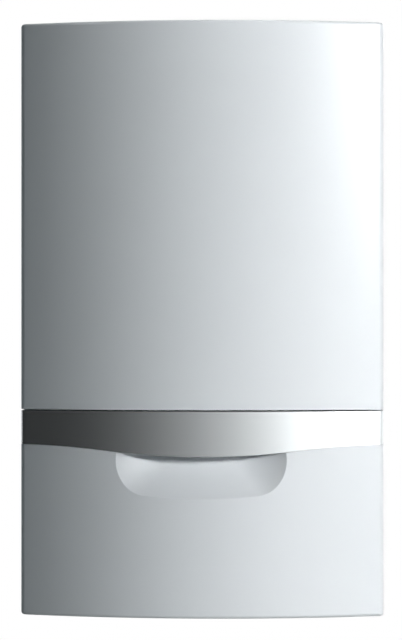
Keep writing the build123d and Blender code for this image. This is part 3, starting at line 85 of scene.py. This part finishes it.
@dataclass
class Shader:
    """Builds one node material step by step."""

    name: str
    material: bpy.types.Material = field(init=False)

    def __post_init__(self) -> None:
        """Makes an empty node material with its surface shader."""
        self.material = bpy.data.materials.new(self.name)
        self.material.use_nodes = True
        self.tree = self.material.node_tree
        self.tree.nodes.clear()
        self.output = self.tree.nodes.new("ShaderNodeOutputMaterial")
        self.surface = self.tree.nodes.new("ShaderNodeBsdfPrincipled")
        self.join(self.surface.outputs["BSDF"], self.output.inputs["Surface"])
        self.coordinates = self.tree.nodes.new("ShaderNodeTexCoord").outputs["Object"]

    def join(self, source: bpy.types.NodeSocket, target: bpy.types.NodeSocket) -> None:
        """Links two sockets."""
        self.tree.links.new(source, target)

    def stretched(self, scale: Point) -> bpy.types.NodeSocket:
        """Object coordinates scaled along each axis.

        Args:
            scale: Factor along X, Y and Z.

        Returns:
            The socket with the scaled coordinates.
        """
        mapping = new_node(self.tree, "ShaderNodeMapping", {"Scale": scale})
        self.join(self.coordinates, mapping.inputs["Vector"])
        return mapping.outputs["Vector"]

    def noise(self, scale: float, detail: float = 3.0, along: Point = (1.0, 1.0, 1.0)) -> bpy.types.NodeSocket:
        """Noise over the object's coordinates.

        Args:
            scale: Features per metre.
            detail: Octaves of noise.
            along: Stretch along each axis.

        Returns:
            The socket with the noise value.
        """
        node = new_node(self.tree, "ShaderNodeTexNoise", {"Scale": scale, "Detail": detail})
        self.join(self.stretched(along), node.inputs["Vector"])
        return node.outputs["Fac"]

    def cells(self, scale: float) -> bpy.types.NodeSocket:
        """Random value for each cell of a crystal pattern.

        Args:
            scale: Cells per metre.

        Returns:
            The socket with one grey value a cell.
        """
        node = new_node(self.tree, "ShaderNodeTexVoronoi", {"Scale": scale})
        self.join(self.coordinates, node.inputs["Vector"])
        grey = self.tree.nodes.new("ShaderNodeSeparateColor")
        self.join(node.outputs["Color"], grey.inputs["Color"])
        return grey.outputs["Red"]

    def spread(self, value: bpy.types.NodeSocket, low: float, high: float) -> bpy.types.NodeSocket:
        """Maps a 0 to 1 value between two numbers.

        Args:
            value: The socket to map.
            low: Result at 0.
            high: Result at 1.

        Returns:
            The socket with the mapped value.
        """
        node = new_node(self.tree, "ShaderNodeMapRange", {"To Min": low, "To Max": high})
        self.join(value, node.inputs["Value"])
        return node.outputs["Result"]

    def blend(self, value: bpy.types.NodeSocket, first: Colour, second: Colour) -> bpy.types.NodeSocket:
        """Mixes two colours by a value.

        Args:
            value: The socket that mixes.
            first: Colour at 0.
            second: Colour at 1.

        Returns:
            The socket with the mixed colour.
        """
        ramp = self.tree.nodes.new("ShaderNodeValToRGB")
        ramp.color_ramp.interpolation = "EASE"
        for stop, colour, position in zip(ramp.color_ramp.elements, (first, second), RAMP_ENDS):
            stop.color = (*colour, 1.0)
            stop.position = position
        self.join(value, ramp.inputs["Fac"])
        return ramp.outputs["Color"]

    def relief(self, value: bpy.types.NodeSocket, depth: float) -> None:
        """Bumps the surface by a value, to a depth in metres."""
        bump = new_node(self.tree, "ShaderNodeBump", {"Distance": depth, "Strength": 1.0})
        self.join(value, bump.inputs["Height"])
        self.join(bump.outputs["Normal"], self.surface.inputs["Normal"])


@dataclass(frozen=True)
class Finish:
    """One finish of the boiler, with its texture at real scale."""

    name: str
    colour: Colour
    roughness: float
    grain: Grain
    metallic: float = 0.0
    coat: float = 0.0
    shift: float = 0.03
    scale: float = 900.0
    depth: float = 0.00001
    unevenness: float = 0.1  # share by which the roughness varies

    def shaded(self, share: float) -> Colour:
        """The colour made lighter or darker by a share."""
        red, green, blue = self.colour
        return (min(red * share, 1.0), min(green * share, 1.0), min(blue * share, 1.0))

    def build(self) -> bpy.types.Material:
        """Makes the node material of the finish."""
        shader = Shader(self.name)
        surface = shader.surface
        surface.inputs["Metallic"].default_value = self.metallic
        surface.inputs["Coat Weight"].default_value = self.coat
        surface.inputs["Coat Roughness"].default_value = COAT_ROUGHNESS
        if self.grain is Grain.SPANGLE:
            pattern = shader.cells(self.scale)
        elif self.grain is Grain.BRUSHED:
            pattern = shader.noise(self.scale, 2.0, BRUSH_STRETCH)
        elif self.grain is Grain.TARNISH:
            pattern = shader.noise(self.scale, 5.0)
        else:
            pattern = shader.noise(self.scale, 2.0)
        mottle = pattern if self.grain in (Grain.SPANGLE, Grain.TARNISH) else shader.noise(MOTTLE_SCALE)
        tint = shader.blend(mottle, self.shaded(1.0 - self.shift), self.shaded(1.0 + self.shift))
        shader.join(tint, surface.inputs["Base Color"])
        rough = shader.spread(mottle, self.roughness * (1.0 - self.unevenness),
                              self.roughness * (1.0 + self.unevenness))
        shader.join(rough, surface.inputs["Roughness"])
        shader.relief(pattern, self.depth)
        return shader.material


WHITE_ENAMEL = Finish("white_enamel", (0.885, 0.90, 0.915), 0.34, Grain.PEEL, coat=0.2, shift=0.006,
                      scale=420.0, depth=0.000012)
WHITE_MOULDING = Finish("white_moulding", (0.885, 0.90, 0.915), 0.36, Grain.MOULDED, coat=0.15, shift=0.006,
                        scale=700.0, depth=0.00001)
SATIN_BAND = Finish("satin_band", (0.80, 0.815, 0.82), 0.27, Grain.BRUSHED, metallic=1.0, shift=0.006,
                    scale=2500.0, depth=0.000003, unevenness=0.0)
ZINC_SHEET = Finish("zinc_sheet", (0.60, 0.61, 0.62), 0.38, Grain.SPANGLE, metallic=0.9, shift=0.10,
                    scale=140.0, depth=0.000004)
STAINLESS = Finish("stainless", (0.62, 0.62, 0.61), 0.26, Grain.BRUSHED, metallic=1.0, shift=0.04, scale=1800.0,
                   depth=0.000004)
CAST_ALUMINIUM = Finish("cast_aluminium", (0.58, 0.58, 0.57), 0.52, Grain.CAST, metallic=0.9, shift=0.06,
                        scale=900.0, depth=0.00006)
VESSEL_PAINT = Finish("vessel_paint", (0.42, 0.035, 0.025), 0.42, Grain.PEEL, coat=0.2, shift=0.05, scale=300.0,
                      depth=0.00003)
COPPER = Finish("copper", (0.72, 0.36, 0.22), 0.24, Grain.TARNISH, metallic=1.0, shift=0.22, scale=70.0,
                depth=0.000005)
BRASS = Finish("brass", (0.72, 0.53, 0.25), 0.30, Grain.TARNISH, metallic=1.0, shift=0.12, scale=130.0,
               depth=0.00001)
BLACK_PLASTIC = Finish("black_plastic", (0.022, 0.022, 0.024), 0.48, Grain.MOULDED, shift=0.15, scale=1600.0,
                       depth=0.00003)
GREY_PLASTIC = Finish("grey_plastic", (0.115, 0.12, 0.125), 0.44, Grain.MOULDED, shift=0.05, scale=1500.0,
                      depth=0.00003)
FASCIA_PLASTIC = Finish("fascia_plastic", (0.30, 0.31, 0.32), 0.38, Grain.MOULDED, shift=0.03, scale=1500.0,
                        depth=0.00002)
KEY_PLASTIC = Finish("key_plastic", (0.72, 0.73, 0.73), 0.40, Grain.MOULDED, shift=0.02, scale=1500.0,
                     depth=0.00001)
LIGHT_PLASTIC = Finish("light_plastic", (0.74, 0.745, 0.74), 0.40, Grain.MOULDED, shift=0.03, scale=900.0,
                       depth=0.00002)
RED_PLASTIC = Finish("red_plastic", (0.50, 0.02, 0.015), 0.36, Grain.MOULDED, shift=0.06, scale=900.0,
                     depth=0.00002)
FOAM = Finish("foam", (0.035, 0.035, 0.037), 0.85, Grain.CAST, shift=0.3, scale=2200.0, depth=0.0002)
RUBBER = Finish("rubber", (0.02, 0.02, 0.02), 0.6, Grain.MOULDED, shift=0.2, scale=1200.0, depth=0.00003)
BOARD_GREEN = Finish("board_green", (0.015, 0.11, 0.045), 0.30, Grain.PEEL, coat=0.3, shift=0.2, scale=500.0,
                     depth=0.00002)
MOTOR_COAT = Finish("motor_coat", (0.03, 0.031, 0.033), 0.42, Grain.CAST, metallic=0.3, shift=0.2, scale=800.0,
                    depth=0.00004)
CERAMIC = Finish("ceramic", (0.80, 0.78, 0.70), 0.22, Grain.PEEL, coat=0.4, shift=0.02, scale=500.0,
                 depth=0.00001)
# Dark print, also used as painted shade: the dark plates in the screws' cross recesses.
DARK_PRINT_AND_SHADE = Finish("print_and_shade_dark", (0.03, 0.032, 0.035), 0.5, Grain.MOULDED, shift=0.1, scale=1500.0,
                    depth=0.000005)
LCD_GREY = Finish("lcd_grey", (0.33, 0.38, 0.35), 0.25, Grain.PEEL, shift=0.03, scale=600.0, depth=0.000003)

CAD_FINISHES: dict[Finish, tuple[str, ...]] = {
    WHITE_ENAMEL: ("left_side_panel", "right_side_panel", "front_cover"),
    WHITE_MOULDING: ("front_flap",),
    SATIN_BAND: ("trim_band",),
    ZINC_SHEET: ("hanging_bracket", "rear_panel", "top_panel", "bottom_panel", "cross_rail", "rail_screws",
                 "cover_clips", "cell_brackets", "door_nuts"),
    STAINLESS: ("heat_cell", "cell_coil", "burner", "plate_heat_exchanger"),
    CAST_ALUMINIUM: ("burner_door", "fan_housing", "gas_valve"),
    VESSEL_PAINT: ("expansion_vessel",),
    COPPER: ("flow_pipe", "return_pipe", "gas_feed_pipe", "gas_pipe", "heating_tails", "water_tails"),
    BRASS: ("diverter_block", "safety_valve", "union_nuts"),
    BLACK_PLASTIC: ("diverter_motor", "mixing_venturi", "air_silencer", "ignition_unit", "fan_wheel",
                    "gauge_needle", "pump_housing"),
    GREY_PLASTIC: ("control_box", "control_box_lid"),
    FASCIA_PLASTIC: ("control_fascia",),
    KEY_PLASTIC: ("reset_button", "minus_button", "plus_button", "power_button"),
    LIGHT_PLASTIC: ("flue_duct", "flue_socket", "condensate_trap", "pressure_gauge"),
    RED_PLASTIC: ("safety_valve_knob",),
    FOAM: ("chamber_seal",),
    RUBBER: ("vessel_hose", "condensate_hose", "ignition_lead"),
    BOARD_GREEN: ("circuit_boards",),
    MOTOR_COAT: ("fan_motor", "pump_motor", "flap_catches"),
    CERAMIC: ("ignition_electrode",),
}


class Workshop:
    """Keeps each finish's material and adds new pieces to the scene."""

    def __init__(self) -> None:
        """Starts with no materials made."""
        self.made: dict[str, bpy.types.Material] = {}

    def material(self, finish: Finish) -> bpy.types.Material:
        """The one material of a finish."""
        if finish.name not in self.made:
            self.made[finish.name] = finish.build()
        return self.made[finish.name]

    def dress(self, node: str, material: bpy.types.Material) -> None:
        """Puts a material on a CAD node."""
        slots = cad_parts[node].data.materials
        slots.clear()
        slots.append(material)

    def add(self, name: str, shape: bmesh.types.BMesh, finish: Finish, body: str, smooth: bool = False) -> None:
        """Turns a finished shape into a piece that rides on a body.

        Args:
            name: Name of the piece.
            shape: The shape, which is freed.
            finish: Its finish.
            body: The body that carries it.
            smooth: Whether its faces are shaded smooth.
        """
        mesh = bpy.data.meshes.new(name)
        for face in shape.faces:
            face.smooth = smooth
        shape.to_mesh(mesh)
        shape.free()
        piece = bpy.data.objects.new(name, mesh)
        bpy.context.scene.collection.objects.link(piece)
        mesh.materials.append(self.material(finish))
        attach(piece, body)
        LOG.info("piece %s rides on %s", name, body)


def clear_material() -> bpy.types.Material:
    """Clear moulded plastic of the windows."""
    shader = Shader("clear_window")
    shader.surface.inputs["Transmission Weight"].default_value = 1.0
    shader.surface.inputs["IOR"].default_value = 1.45
    shader.surface.inputs["Base Color"].default_value = (0.93, 0.95, 0.95, 1.0)
    shader.join(shader.spread(shader.noise(300.0), 0.03, 0.07), shader.surface.inputs["Roughness"])
    return shader.material


@dataclass
class Studio:
    """Floor, lights and camera, which aren't part of the boiler."""

    focal_px: float = 2038.0
    frame_height: float = 640.0
    sensor: float = 36.0
    camera_distance: float = 2.44
    camera_turn: float = 1.7
    camera_level: float = 0.3601
    fixing_level: float = 0.640
    floor_drop: float = 0.95
    floor_radius: float = 3.2
    floor_glow: float = 0.6
    dark_side: float = -0.45
    bright_side: float = 0.30
    reflection_curve: float = 1.9
    dark_level: float = 0.03
    bright_level: float = 0.96
    fill_level: float = 0.026
    reflection_colour: Colour = (0.96, 0.99, 1.0)
    fill_colour: Colour = (0.50, 0.90, 1.0)
    front_depth: float = 0.338
    key_turn: float = 35.0
    key_rise: float = 13.0
    key_edge: float = -0.086
    key_distance: float = 3.0
    key_size: tuple[float, float] = (1.2, 2.6)
    key_watts: float = 9.3
    key_spread: float = 9.2
    key_colour: Colour = (0.965, 0.985, 1.0)
    aim_depth: float = 0.17
    floor_fade: tuple[float, float] = (0.25, 0.95)  # shares of the floor's radius
    soft_lamps: tuple[tuple[str, Point, tuple[float, float], float, Colour], ...] = (
        ("top", (0.3, 0.5, 2.3), (2.0, 1.4), 14.0, (0.97, 0.99, 1.0)),
        ("left_rim", (-2.3, 1.3, 0.2), (1.0, 2.6), 10.0, (0.93, 0.97, 1.0)),
        ("right_rim", (2.3, 1.3, 0.2), (1.0, 2.6), 5.0, (1.0, 0.99, 0.98)),
    )

    def camera(self) -> None:
        """Makes the camera where the photograph was taken from."""
        low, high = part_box("front_cover")
        target = Vector(((low.x + high.x) / 2, low.y, self.camera_level - self.fixing_level))
        turn = math.radians(self.camera_turn)
        back = Vector((math.sin(turn), -math.cos(turn), 0.0))
        data = bpy.data.cameras.new("camera")
        data.sensor_width = self.sensor
        data.lens = self.sensor * self.focal_px / self.frame_height
        camera = bpy.data.objects.new("camera", data)
        camera.location = target + back * self.camera_distance
        camera.rotation_euler = (-back).to_track_quat("-Z", "Y").to_euler()
        bpy.context.scene.collection.objects.link(camera)
        bpy.context.scene.camera = camera

    def lamp(self, name: str, place: Point, aim: Point, size: tuple[float, float], watts: float,
             colour: Colour, spread: float = 180.0) -> None:
        """Adds one soft rectangular lamp.

        Args:
            name: Name of the lamp.
            place: Where it stands, in metres.
            aim: The point it faces.
            size: Its width and height.
            watts: Its power.
            colour: Its colour.
            spread: How widely its light fans out, in degrees.
        """
        data = bpy.data.lights.new(name, "AREA")
        data.shape = "RECTANGLE"
        data.size, data.size_y = size
        data.energy = watts
        data.color = colour
        data.spread = math.radians(spread)
        lamp = bpy.data.objects.new(name, data)
        lamp.location = place
        lamp.rotation_euler = (Vector(aim) - lamp.location).to_track_quat("-Z", "Y").to_euler()
        bpy.context.scene.collection.objects.link(lamp)

    def key(self) -> None:
        """Adds the main softbox, on the right and above, its beam fading out across the left of the front."""
        turn, rise = math.radians(self.key_turn), math.radians(self.key_rise)
        beside = Vector((math.cos(turn), math.sin(turn), 0.0))
        towards = Vector((math.sin(turn) * math.cos(rise), -math.cos(turn) * math.cos(rise), math.sin(rise)))
        front = Vector((0.0, -self.front_depth, self.camera_level - self.fixing_level))
        middle = front + beside * (self.key_edge + self.key_size[0] / 2)
        self.lamp("key", tuple(middle + towards * self.key_distance), tuple(middle), self.key_size,
                  self.key_watts, self.key_colour, self.key_spread)

    def world(self) -> None:
        """White background for the camera, a dim cool fill, and a gradient for reflections."""
        world = bpy.data.worlds.new("studio")
        bpy.context.scene.world = world
        world.use_nodes = True
        tree = world.node_tree
        tree.nodes.clear()
        path = new_node(tree, "ShaderNodeLightPath")
        place = new_node(tree, "ShaderNodeTexCoord")
        parts = new_node(tree, "ShaderNodeSeparateXYZ")
        across = new_node(tree, "ShaderNodeMapRange",
                          {"From Min": self.dark_side, "From Max": self.bright_side})
        curve = new_node(tree, "ShaderNodeMath", {1: self.reflection_curve}, "POWER")
        level = new_node(tree, "ShaderNodeMapRange", {"To Min": self.dark_level, "To Max": self.bright_level})
        shown = new_node(tree, "ShaderNodeBackground", {"Color": (1.0, 1.0, 1.0, 1.0)})
        glossy = new_node(tree, "ShaderNodeBackground", {"Color": (*self.reflection_colour, 1.0)})
        fill = new_node(tree, "ShaderNodeBackground",
                        {"Color": (*self.fill_colour, 1.0), "Strength": self.fill_level})
        by_gloss = new_node(tree, "ShaderNodeMixShader")
        seen = new_node(tree, "ShaderNodeMath", {}, "MAXIMUM")
        by_camera = new_node(tree, "ShaderNodeMixShader")
        output = new_node(tree, "ShaderNodeOutputWorld")
        for source, target in (
            (place.outputs["Generated"], parts.inputs["Vector"]),
            (parts.outputs["X"], across.inputs["Value"]),
            (across.outputs["Result"], curve.inputs[0]),
            (curve.outputs["Value"], level.inputs["Value"]),
            (level.outputs["Result"], glossy.inputs["Strength"]),
            (path.outputs["Is Glossy Ray"], by_gloss.inputs["Fac"]),
            (fill.outputs["Background"], by_gloss.inputs[1]),
            (glossy.outputs["Background"], by_gloss.inputs[2]),
            (path.outputs["Is Camera Ray"], seen.inputs[0]),
            (path.outputs["Is Transmission Ray"], seen.inputs[1]),
            (seen.outputs["Value"], by_camera.inputs["Fac"]),
            (by_gloss.outputs["Shader"], by_camera.inputs[1]),
            (shown.outputs["Background"], by_camera.inputs[2]),
            (by_camera.outputs["Shader"], output.inputs["Surface"]),
        ):
            tree.links.new(source, target)

    def floor(self) -> None:
        """Pale round floor that fades into the background."""
        shape = bmesh.new()
        bmesh.ops.create_circle(shape, cap_ends=True, radius=self.floor_radius, segments=96)
        height = -self.fixing_level - self.floor_drop
        bmesh.ops.translate(shape, verts=shape.verts, vec=(0.0, 0.0, height))
        mesh = bpy.data.meshes.new("floor")
        shape.to_mesh(mesh)
        shape.free()
        floor = bpy.data.objects.new("floor", mesh)
        bpy.context.scene.collection.objects.link(floor)
        shader = Shader("floor")
        shader.surface.inputs["Base Color"].default_value = (0.85, 0.85, 0.85, 1.0)
        shader.surface.inputs["Roughness"].default_value = 0.8
        near, far = (self.floor_radius * share for share in self.floor_fade)
        glow = new_node(shader.tree, "ShaderNodeEmission")
        length = new_node(shader.tree, "ShaderNodeVectorMath", {}, "LENGTH")
        fade = new_node(shader.tree, "ShaderNodeMapRange",
                        {"From Min": near, "From Max": far, "To Min": self.floor_glow})
        mix = new_node(shader.tree, "ShaderNodeMixShader")
        path = new_node(shader.tree, "ShaderNodeLightPath")
        share = new_node(shader.tree, "ShaderNodeMath", {}, "MULTIPLY")
        for source, target in (
            (shader.stretched((1.0, 1.0, 0.0)), length.inputs[0]),
            (length.outputs["Value"], fade.inputs["Value"]),
            (fade.outputs["Result"], share.inputs[0]),
            (path.outputs["Is Camera Ray"], share.inputs[1]),
            (share.outputs["Value"], mix.inputs["Fac"]),
            (shader.surface.outputs["BSDF"], mix.inputs[1]),
            (glow.outputs["Emission"], mix.inputs[2]),
            (mix.outputs["Shader"], shader.output.inputs["Surface"]),
        ):
            shader.join(source, target)
        mesh.materials.append(shader.material)

    def build(self) -> None:
        """Sets up the whole studio."""
        self.camera()
        self.world()
        self.floor()
        self.key()
        middle = (0.0, -self.aim_depth, self.camera_level - self.fixing_level)
        for name, place, size, watts, colour in self.soft_lamps:
            self.lamp(name, place, middle, size, watts, colour)
        bpy.context.scene.view_settings.view_transform = "Standard"


@dataclass
class Stencil:
    """Flat printed marks on one upright face, gathered in one shape."""

    depth: float
    thickness: float = 0.0001
    arc_step: float = 7.5
    arc_overlap: float = 1.04
    least_steps: int = 6
    stroke_gap: float = 0.2
    shape: bmesh.types.BMesh = field(default_factory=bmesh.new)

    def place(self, mark: bmesh.types.BMesh) -> None:
        """Moves a finished mark into the gathered shape."""
        scratch = bpy.data.meshes.new("mark")
        mark.to_mesh(scratch)
        mark.free()
        self.shape.from_mesh(scratch)
        bpy.data.meshes.remove(scratch)

    def bar(self, x: float, z: float, width: float, height: float, turn: float = 0.0) -> None:
        """Adds a straight bar.

        Args:
            x: Middle of the bar across the face.
            z: Middle of the bar up the face.
            width: Size across, before turning.
            height: Size up, before turning.
            turn: Clockwise turn in degrees.
        """
        mark = bmesh.new()
        bmesh.ops.create_cube(mark, size=1.0)
        bmesh.ops.scale(mark, verts=mark.verts, vec=(width, self.thickness, height))
        spin = Matrix.Rotation(math.radians(turn), 3, "Y")
        bmesh.ops.rotate(mark, verts=mark.verts, cent=(0, 0, 0), matrix=spin)
        bmesh.ops.translate(mark, verts=mark.verts, vec=(x, -self.depth, z))
        self.place(mark)

    def arc(self, x: float, z: float, radius: float, width: float, start: float, end: float) -> None:
        """Adds an arc made of short bars, clockwise from the top.

        Args:
            x: Centre of the arc across the face.
            z: Centre of the arc up the face.
            radius: Middle radius.
            width: Width of the line.
            start: First angle in degrees.
            end: Last angle in degrees.
        """
        steps = max(self.least_steps, int((end - start) / self.arc_step))
        step = (end - start) / steps
        chord = 2 * self.arc_overlap * radius * math.sin(math.radians(step / 2))
        for index in range(steps):
            turn = start + (index + 0.5) * step
            angle = math.radians(turn)
            self.bar(x + radius * math.sin(angle), z + radius * math.cos(angle), chord, width, turn)

    def digit(self, value: int, x: float, z: float, height: float, line: float) -> None:
        """Adds one seven-segment digit.

        Args:
            value: The digit, 0 to 9.
            x: Middle of the digit across the face.
            z: Middle of the digit up the face.
            height: Height of the digit.
            line: Width of its strokes.
        """
        shown = ("abcdef", "bc", "abged", "abgcd", "fgbc", "afgcd", "afgedc", "abc", "abcdefg", "abfgcd")[value]
        half = height / 4
        gap = line * self.stroke_gap
        strokes = {
            "a": (0.0, 2 * half, False), "g": (0.0, 0.0, False), "d": (0.0, -2 * half, False),
            "f": (-half, half, True), "b": (half, half, True),
            "e": (-half, -half, True), "c": (half, -half, True),
        }
        for name in shown:
            across, up, tall = strokes[name]
            length = 2 * half - line - 2 * gap
            size = (line, length) if tall else (length, line)
            self.bar(x + across, z + up, *size)


@dataclass
class Dial:
    """Printed face of the pressure gauge."""

    x: float = -0.112
    level: float = -0.488
    depth: float = 0.27505
    radius: float = 0.0215
    steps: int = 20
    sweep: float = 270.0
    start: float = -135.0
    top_value: int = 4
    major_tick: tuple[float, float] = (0.0032, 0.0006)
    minor_tick: tuple[float, float] = (0.0018, 0.0003)
    tick_inset: float = 0.0018
    number_inset: float = 0.0085
    number_height: float = 0.0036
    number_line: float = 0.0005
    zone_inset: float = 0.001
    zone_line: float = 0.0009

    def build(self, shop: Workshop) -> None:
        """Prints the ticks, the numbers and the upper limit zone."""
        marks = Stencil(self.depth)
        for step in range(self.steps + 1):
            major = step % (self.steps // self.top_value) == 0
            length, width = self.major_tick if major else self.minor_tick
            turn = self.start + step * self.sweep / self.steps
            reach = self.radius - self.tick_inset - length / 2
            angle = math.radians(turn)
            place = (self.x + reach * math.sin(angle), self.level + reach * math.cos(angle))
            marks.bar(*place, width, length, turn)
        for value in range(self.top_value + 1):
            angle = math.radians(self.start + value * self.sweep / self.top_value)
            reach = self.radius - self.number_inset
            place = (self.x + reach * math.sin(angle), self.level + reach * math.cos(angle))
            marks.digit(value, *place, self.number_height, self.number_line)
        shop.add("gauge_scale", marks.shape, DARK_PRINT_AND_SHADE, "control_box")
        zone = Stencil(self.depth)
        high = self.start + self.sweep
        zone.arc(self.x, self.level, self.radius - self.zone_inset, self.zone_line,
                 high - self.sweep / self.top_value, high)
        shop.add("gauge_limit", zone.shape, RED_PLASTIC, "control_box")


@dataclass
class Display:
    """Liquid crystal display behind the clear window."""

    x: float = -0.005
    level: float = -0.478
    depth: float = 0.2752
    half_width: float = 0.040
    half_height: float = 0.022
    digits: tuple[int, ...] = (5, 5)
    digit_height: float = 0.022
    digit_line: float = 0.0024
    digit_start: tuple[float, float] = (-0.009, 0.002)
    digit_pitch: float = 0.0165
    face_thickness: float = 0.0002
    border_line: float = 0.0024
    border_thickness: float = 0.0003
    degree: tuple[float, float, float, float] = (0.019, 0.012, 0.0016, 0.0006)  # x, z, radius, line
    blocks: int = 6
    block_start: tuple[float, float] = (-0.030, -0.0165)
    block_pitch: float = 0.004
    block_size: tuple[float, float] = (0.0028, 0.0022)
    long_block: tuple[float, float] = (0.026, 0.012)  # x and width

    def build(self, shop: Workshop) -> None:
        """Makes the grey face, its border and the figures on it."""
        face = Stencil(self.depth, self.face_thickness)
        face.bar(self.x, self.level, 2 * self.half_width, 2 * self.half_height)
        shop.add("display_face", face.shape, LCD_GREY, "control_box")
        border = Stencil(self.depth + self.border_thickness, self.border_thickness)
        line = self.border_line
        for side in (-1, 1):
            border.bar(self.x, self.level + side * (self.half_height + line / 2),
                       2 * self.half_width + 2 * line, line)
            border.bar(self.x + side * (self.half_width + line / 2), self.level, line, 2 * self.half_height)
        shop.add("display_border", border.shape, BLACK_PLASTIC, "control_box")
        figures = Stencil(self.depth + self.face_thickness)
        across, up = self.digit_start
        for index, value in enumerate(self.digits):
            figures.digit(value, self.x + across + index * self.digit_pitch, self.level + up,
                          self.digit_height, self.digit_line)
        across, up, radius, line = self.degree
        figures.arc(self.x + across, self.level + up, radius, line, 0.0, 360.0)
        across, up = self.block_start
        for index in range(self.blocks):
            figures.bar(self.x + across + index * self.block_pitch, self.level + up, *self.block_size)
        across, width = self.long_block
        figures.bar(self.x + across, self.level + up, width, self.block_size[1])
        shop.add("display_figures", figures.shape, DARK_PRINT_AND_SHADE, "control_box")


@dataclass
class KeyMarks:
    """Printed marks on the four press keys."""

    depth: float = 0.28105
    reset: tuple[float, float] = (-0.040, -0.528)
    minus: tuple[float, float] = (0.062, -0.478)
    plus: tuple[float, float] = (0.092, -0.478)
    power: tuple[float, float] = (0.132, -0.528)
    line: float = 0.0007
    size: float = 0.0046
    reset_arc: tuple[float, float] = (40.0, 320.0)
    power_arc: tuple[float, float] = (35.0, 325.0)
    arrow_offset: float = 0.0019
    arrow_length: float = 0.0018
    power_bar: tuple[float, float] = (0.0018, 0.0026)  # height above the middle, and length

    def build(self, shop: Workshop) -> None:
        """Prints each mark on the body of its own key."""
        reset = Stencil(self.depth)
        reset.arc(*self.reset, self.size / 2, self.line, *self.reset_arc)
        reset.bar(self.reset[0] + self.arrow_offset, self.reset[1] + self.arrow_offset, self.line,
                  self.arrow_length, 90.0)
        shop.add("reset_mark", reset.shape, DARK_PRINT_AND_SHADE, "reset_button")
        minus = Stencil(self.depth)
        minus.bar(*self.minus, self.size, self.line)
        shop.add("minus_mark", minus.shape, DARK_PRINT_AND_SHADE, "minus_button")
        plus = Stencil(self.depth)
        plus.bar(*self.plus, self.size, self.line)
        plus.bar(*self.plus, self.line, self.size)
        shop.add("plus_mark", plus.shape, DARK_PRINT_AND_SHADE, "plus_button")
        power = Stencil(self.depth)
        power.arc(*self.power, self.size / 2, self.line, *self.power_arc)
        rise, length = self.power_bar
        power.bar(self.power[0], self.power[1] + rise, self.line, length)
        shop.add("power_mark", power.shape, DARK_PRINT_AND_SHADE, "power_button")


@dataclass
class PanScrews:
    """Cross-head screws that hold the casing's panels."""

    radius: float = 0.0035
    height: float = 0.0016
    taper: float = 0.8
    slot_shares: tuple[float, float] = (1.1, 0.22)  # length and width as shares of the radius
    slot_depth: float = 0.0002
    places: tuple[Point, ...] = (
        (-0.200, -0.045, 0.080), (0.200, -0.045, 0.080), (-0.200, -0.190, 0.080), (0.200, -0.190, 0.080),
    )

    def build(self, shop: Workshop) -> None:
        """Makes all the heads, and thin dark plates on them that are painted shade for their cross recesses."""
        heads = bmesh.new()
        slots = bmesh.new()
        for x, y, z in self.places:
            place = Matrix.Translation((x, y, z + self.height / 2))
            bmesh.ops.create_cone(heads, cap_ends=True, segments=32, radius1=self.radius,
                                  radius2=self.radius * self.taper, depth=self.height, matrix=place)
            # Painted shade: a thin dark plate on top of each head stands for the shade inside its cross recess.
            for turn in (45.0, 135.0):
                made = bmesh.ops.create_cube(slots, size=1.0)["verts"]
                length, width = (self.radius * share for share in self.slot_shares)
                bmesh.ops.scale(slots, verts=made, vec=(length, width, self.slot_depth))
                spin = Matrix.Rotation(math.radians(turn), 3, "Z")
                bmesh.ops.rotate(slots, verts=made, cent=(0, 0, 0), matrix=spin)
                bmesh.ops.translate(slots, verts=made, vec=(x, y, z + self.height))
        shop.add("casing_screws", heads, ZINC_SHEET, "chassis")
        shop.add("screw_slot_shade", slots, DARK_PRINT_AND_SHADE, "chassis")


@dataclass
class Grommets:
    """Rubber grommets where the pipes pass through the bottom panel."""

    level: float = -0.570
    depth: float = 0.110
    height: float = 0.0025
    lip: float = 0.004
    chamfer: float = 0.001
    bores: tuple[tuple[float, float], ...] = (
        (-0.100, 0.0115), (-0.035, 0.008), (0.0, 0.008), (0.035, 0.008), (0.100, 0.0115),
    )
    segments: int = 48

    def build(self, shop: Workshop) -> None:
        """Makes one ring a pipe, under the panel."""
        rings = bmesh.new()
        for x, bore in self.bores:
            low, high = self.level - self.height, self.level
            profile = ((bore, high), (bore + self.lip, high), (bore + self.lip, low + self.chamfer),
                       (bore + self.lip - self.chamfer, low), (bore, low))
            corners = [rings.verts.new((x + radius, -self.depth, z)) for radius, z in profile]
            edges = [rings.edges.new((corners[index], corners[(index + 1) % len(corners)]))
                     for index in range(len(corners))]
            bmesh.ops.spin(rings, geom=corners + edges, cent=(x, -self.depth, 0.0), axis=(0, 0, 1),
                           angle=2 * math.pi, steps=self.segments, use_duplicate=False)
        bmesh.ops.remove_doubles(rings, verts=rings.verts, dist=WELD_DISTANCE)
        bmesh.ops.recalc_face_normals(rings, faces=rings.faces)
        shop.add("pipe_grommets", rings, RUBBER, "chassis")


def main() -> None:
    """Dresses the boiler, piece by piece, and sets up the studio."""
    logging.basicConfig(level=logging.INFO, format="%(message)s")
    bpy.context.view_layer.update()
    shop = Workshop()
    for finish, nodes in CAD_FINISHES.items():
        for node in nodes:
            shop.dress(node, shop.material(finish))
            LOG.info("node %s has finish %s", node, finish.name)
    shop.dress("clear_windows", clear_material())
    for part in (Dial(), Display(), KeyMarks(), PanScrews(), Grommets()):
        part.build(shop)
    Studio().build()


if __name__ == "__main__":
    main()
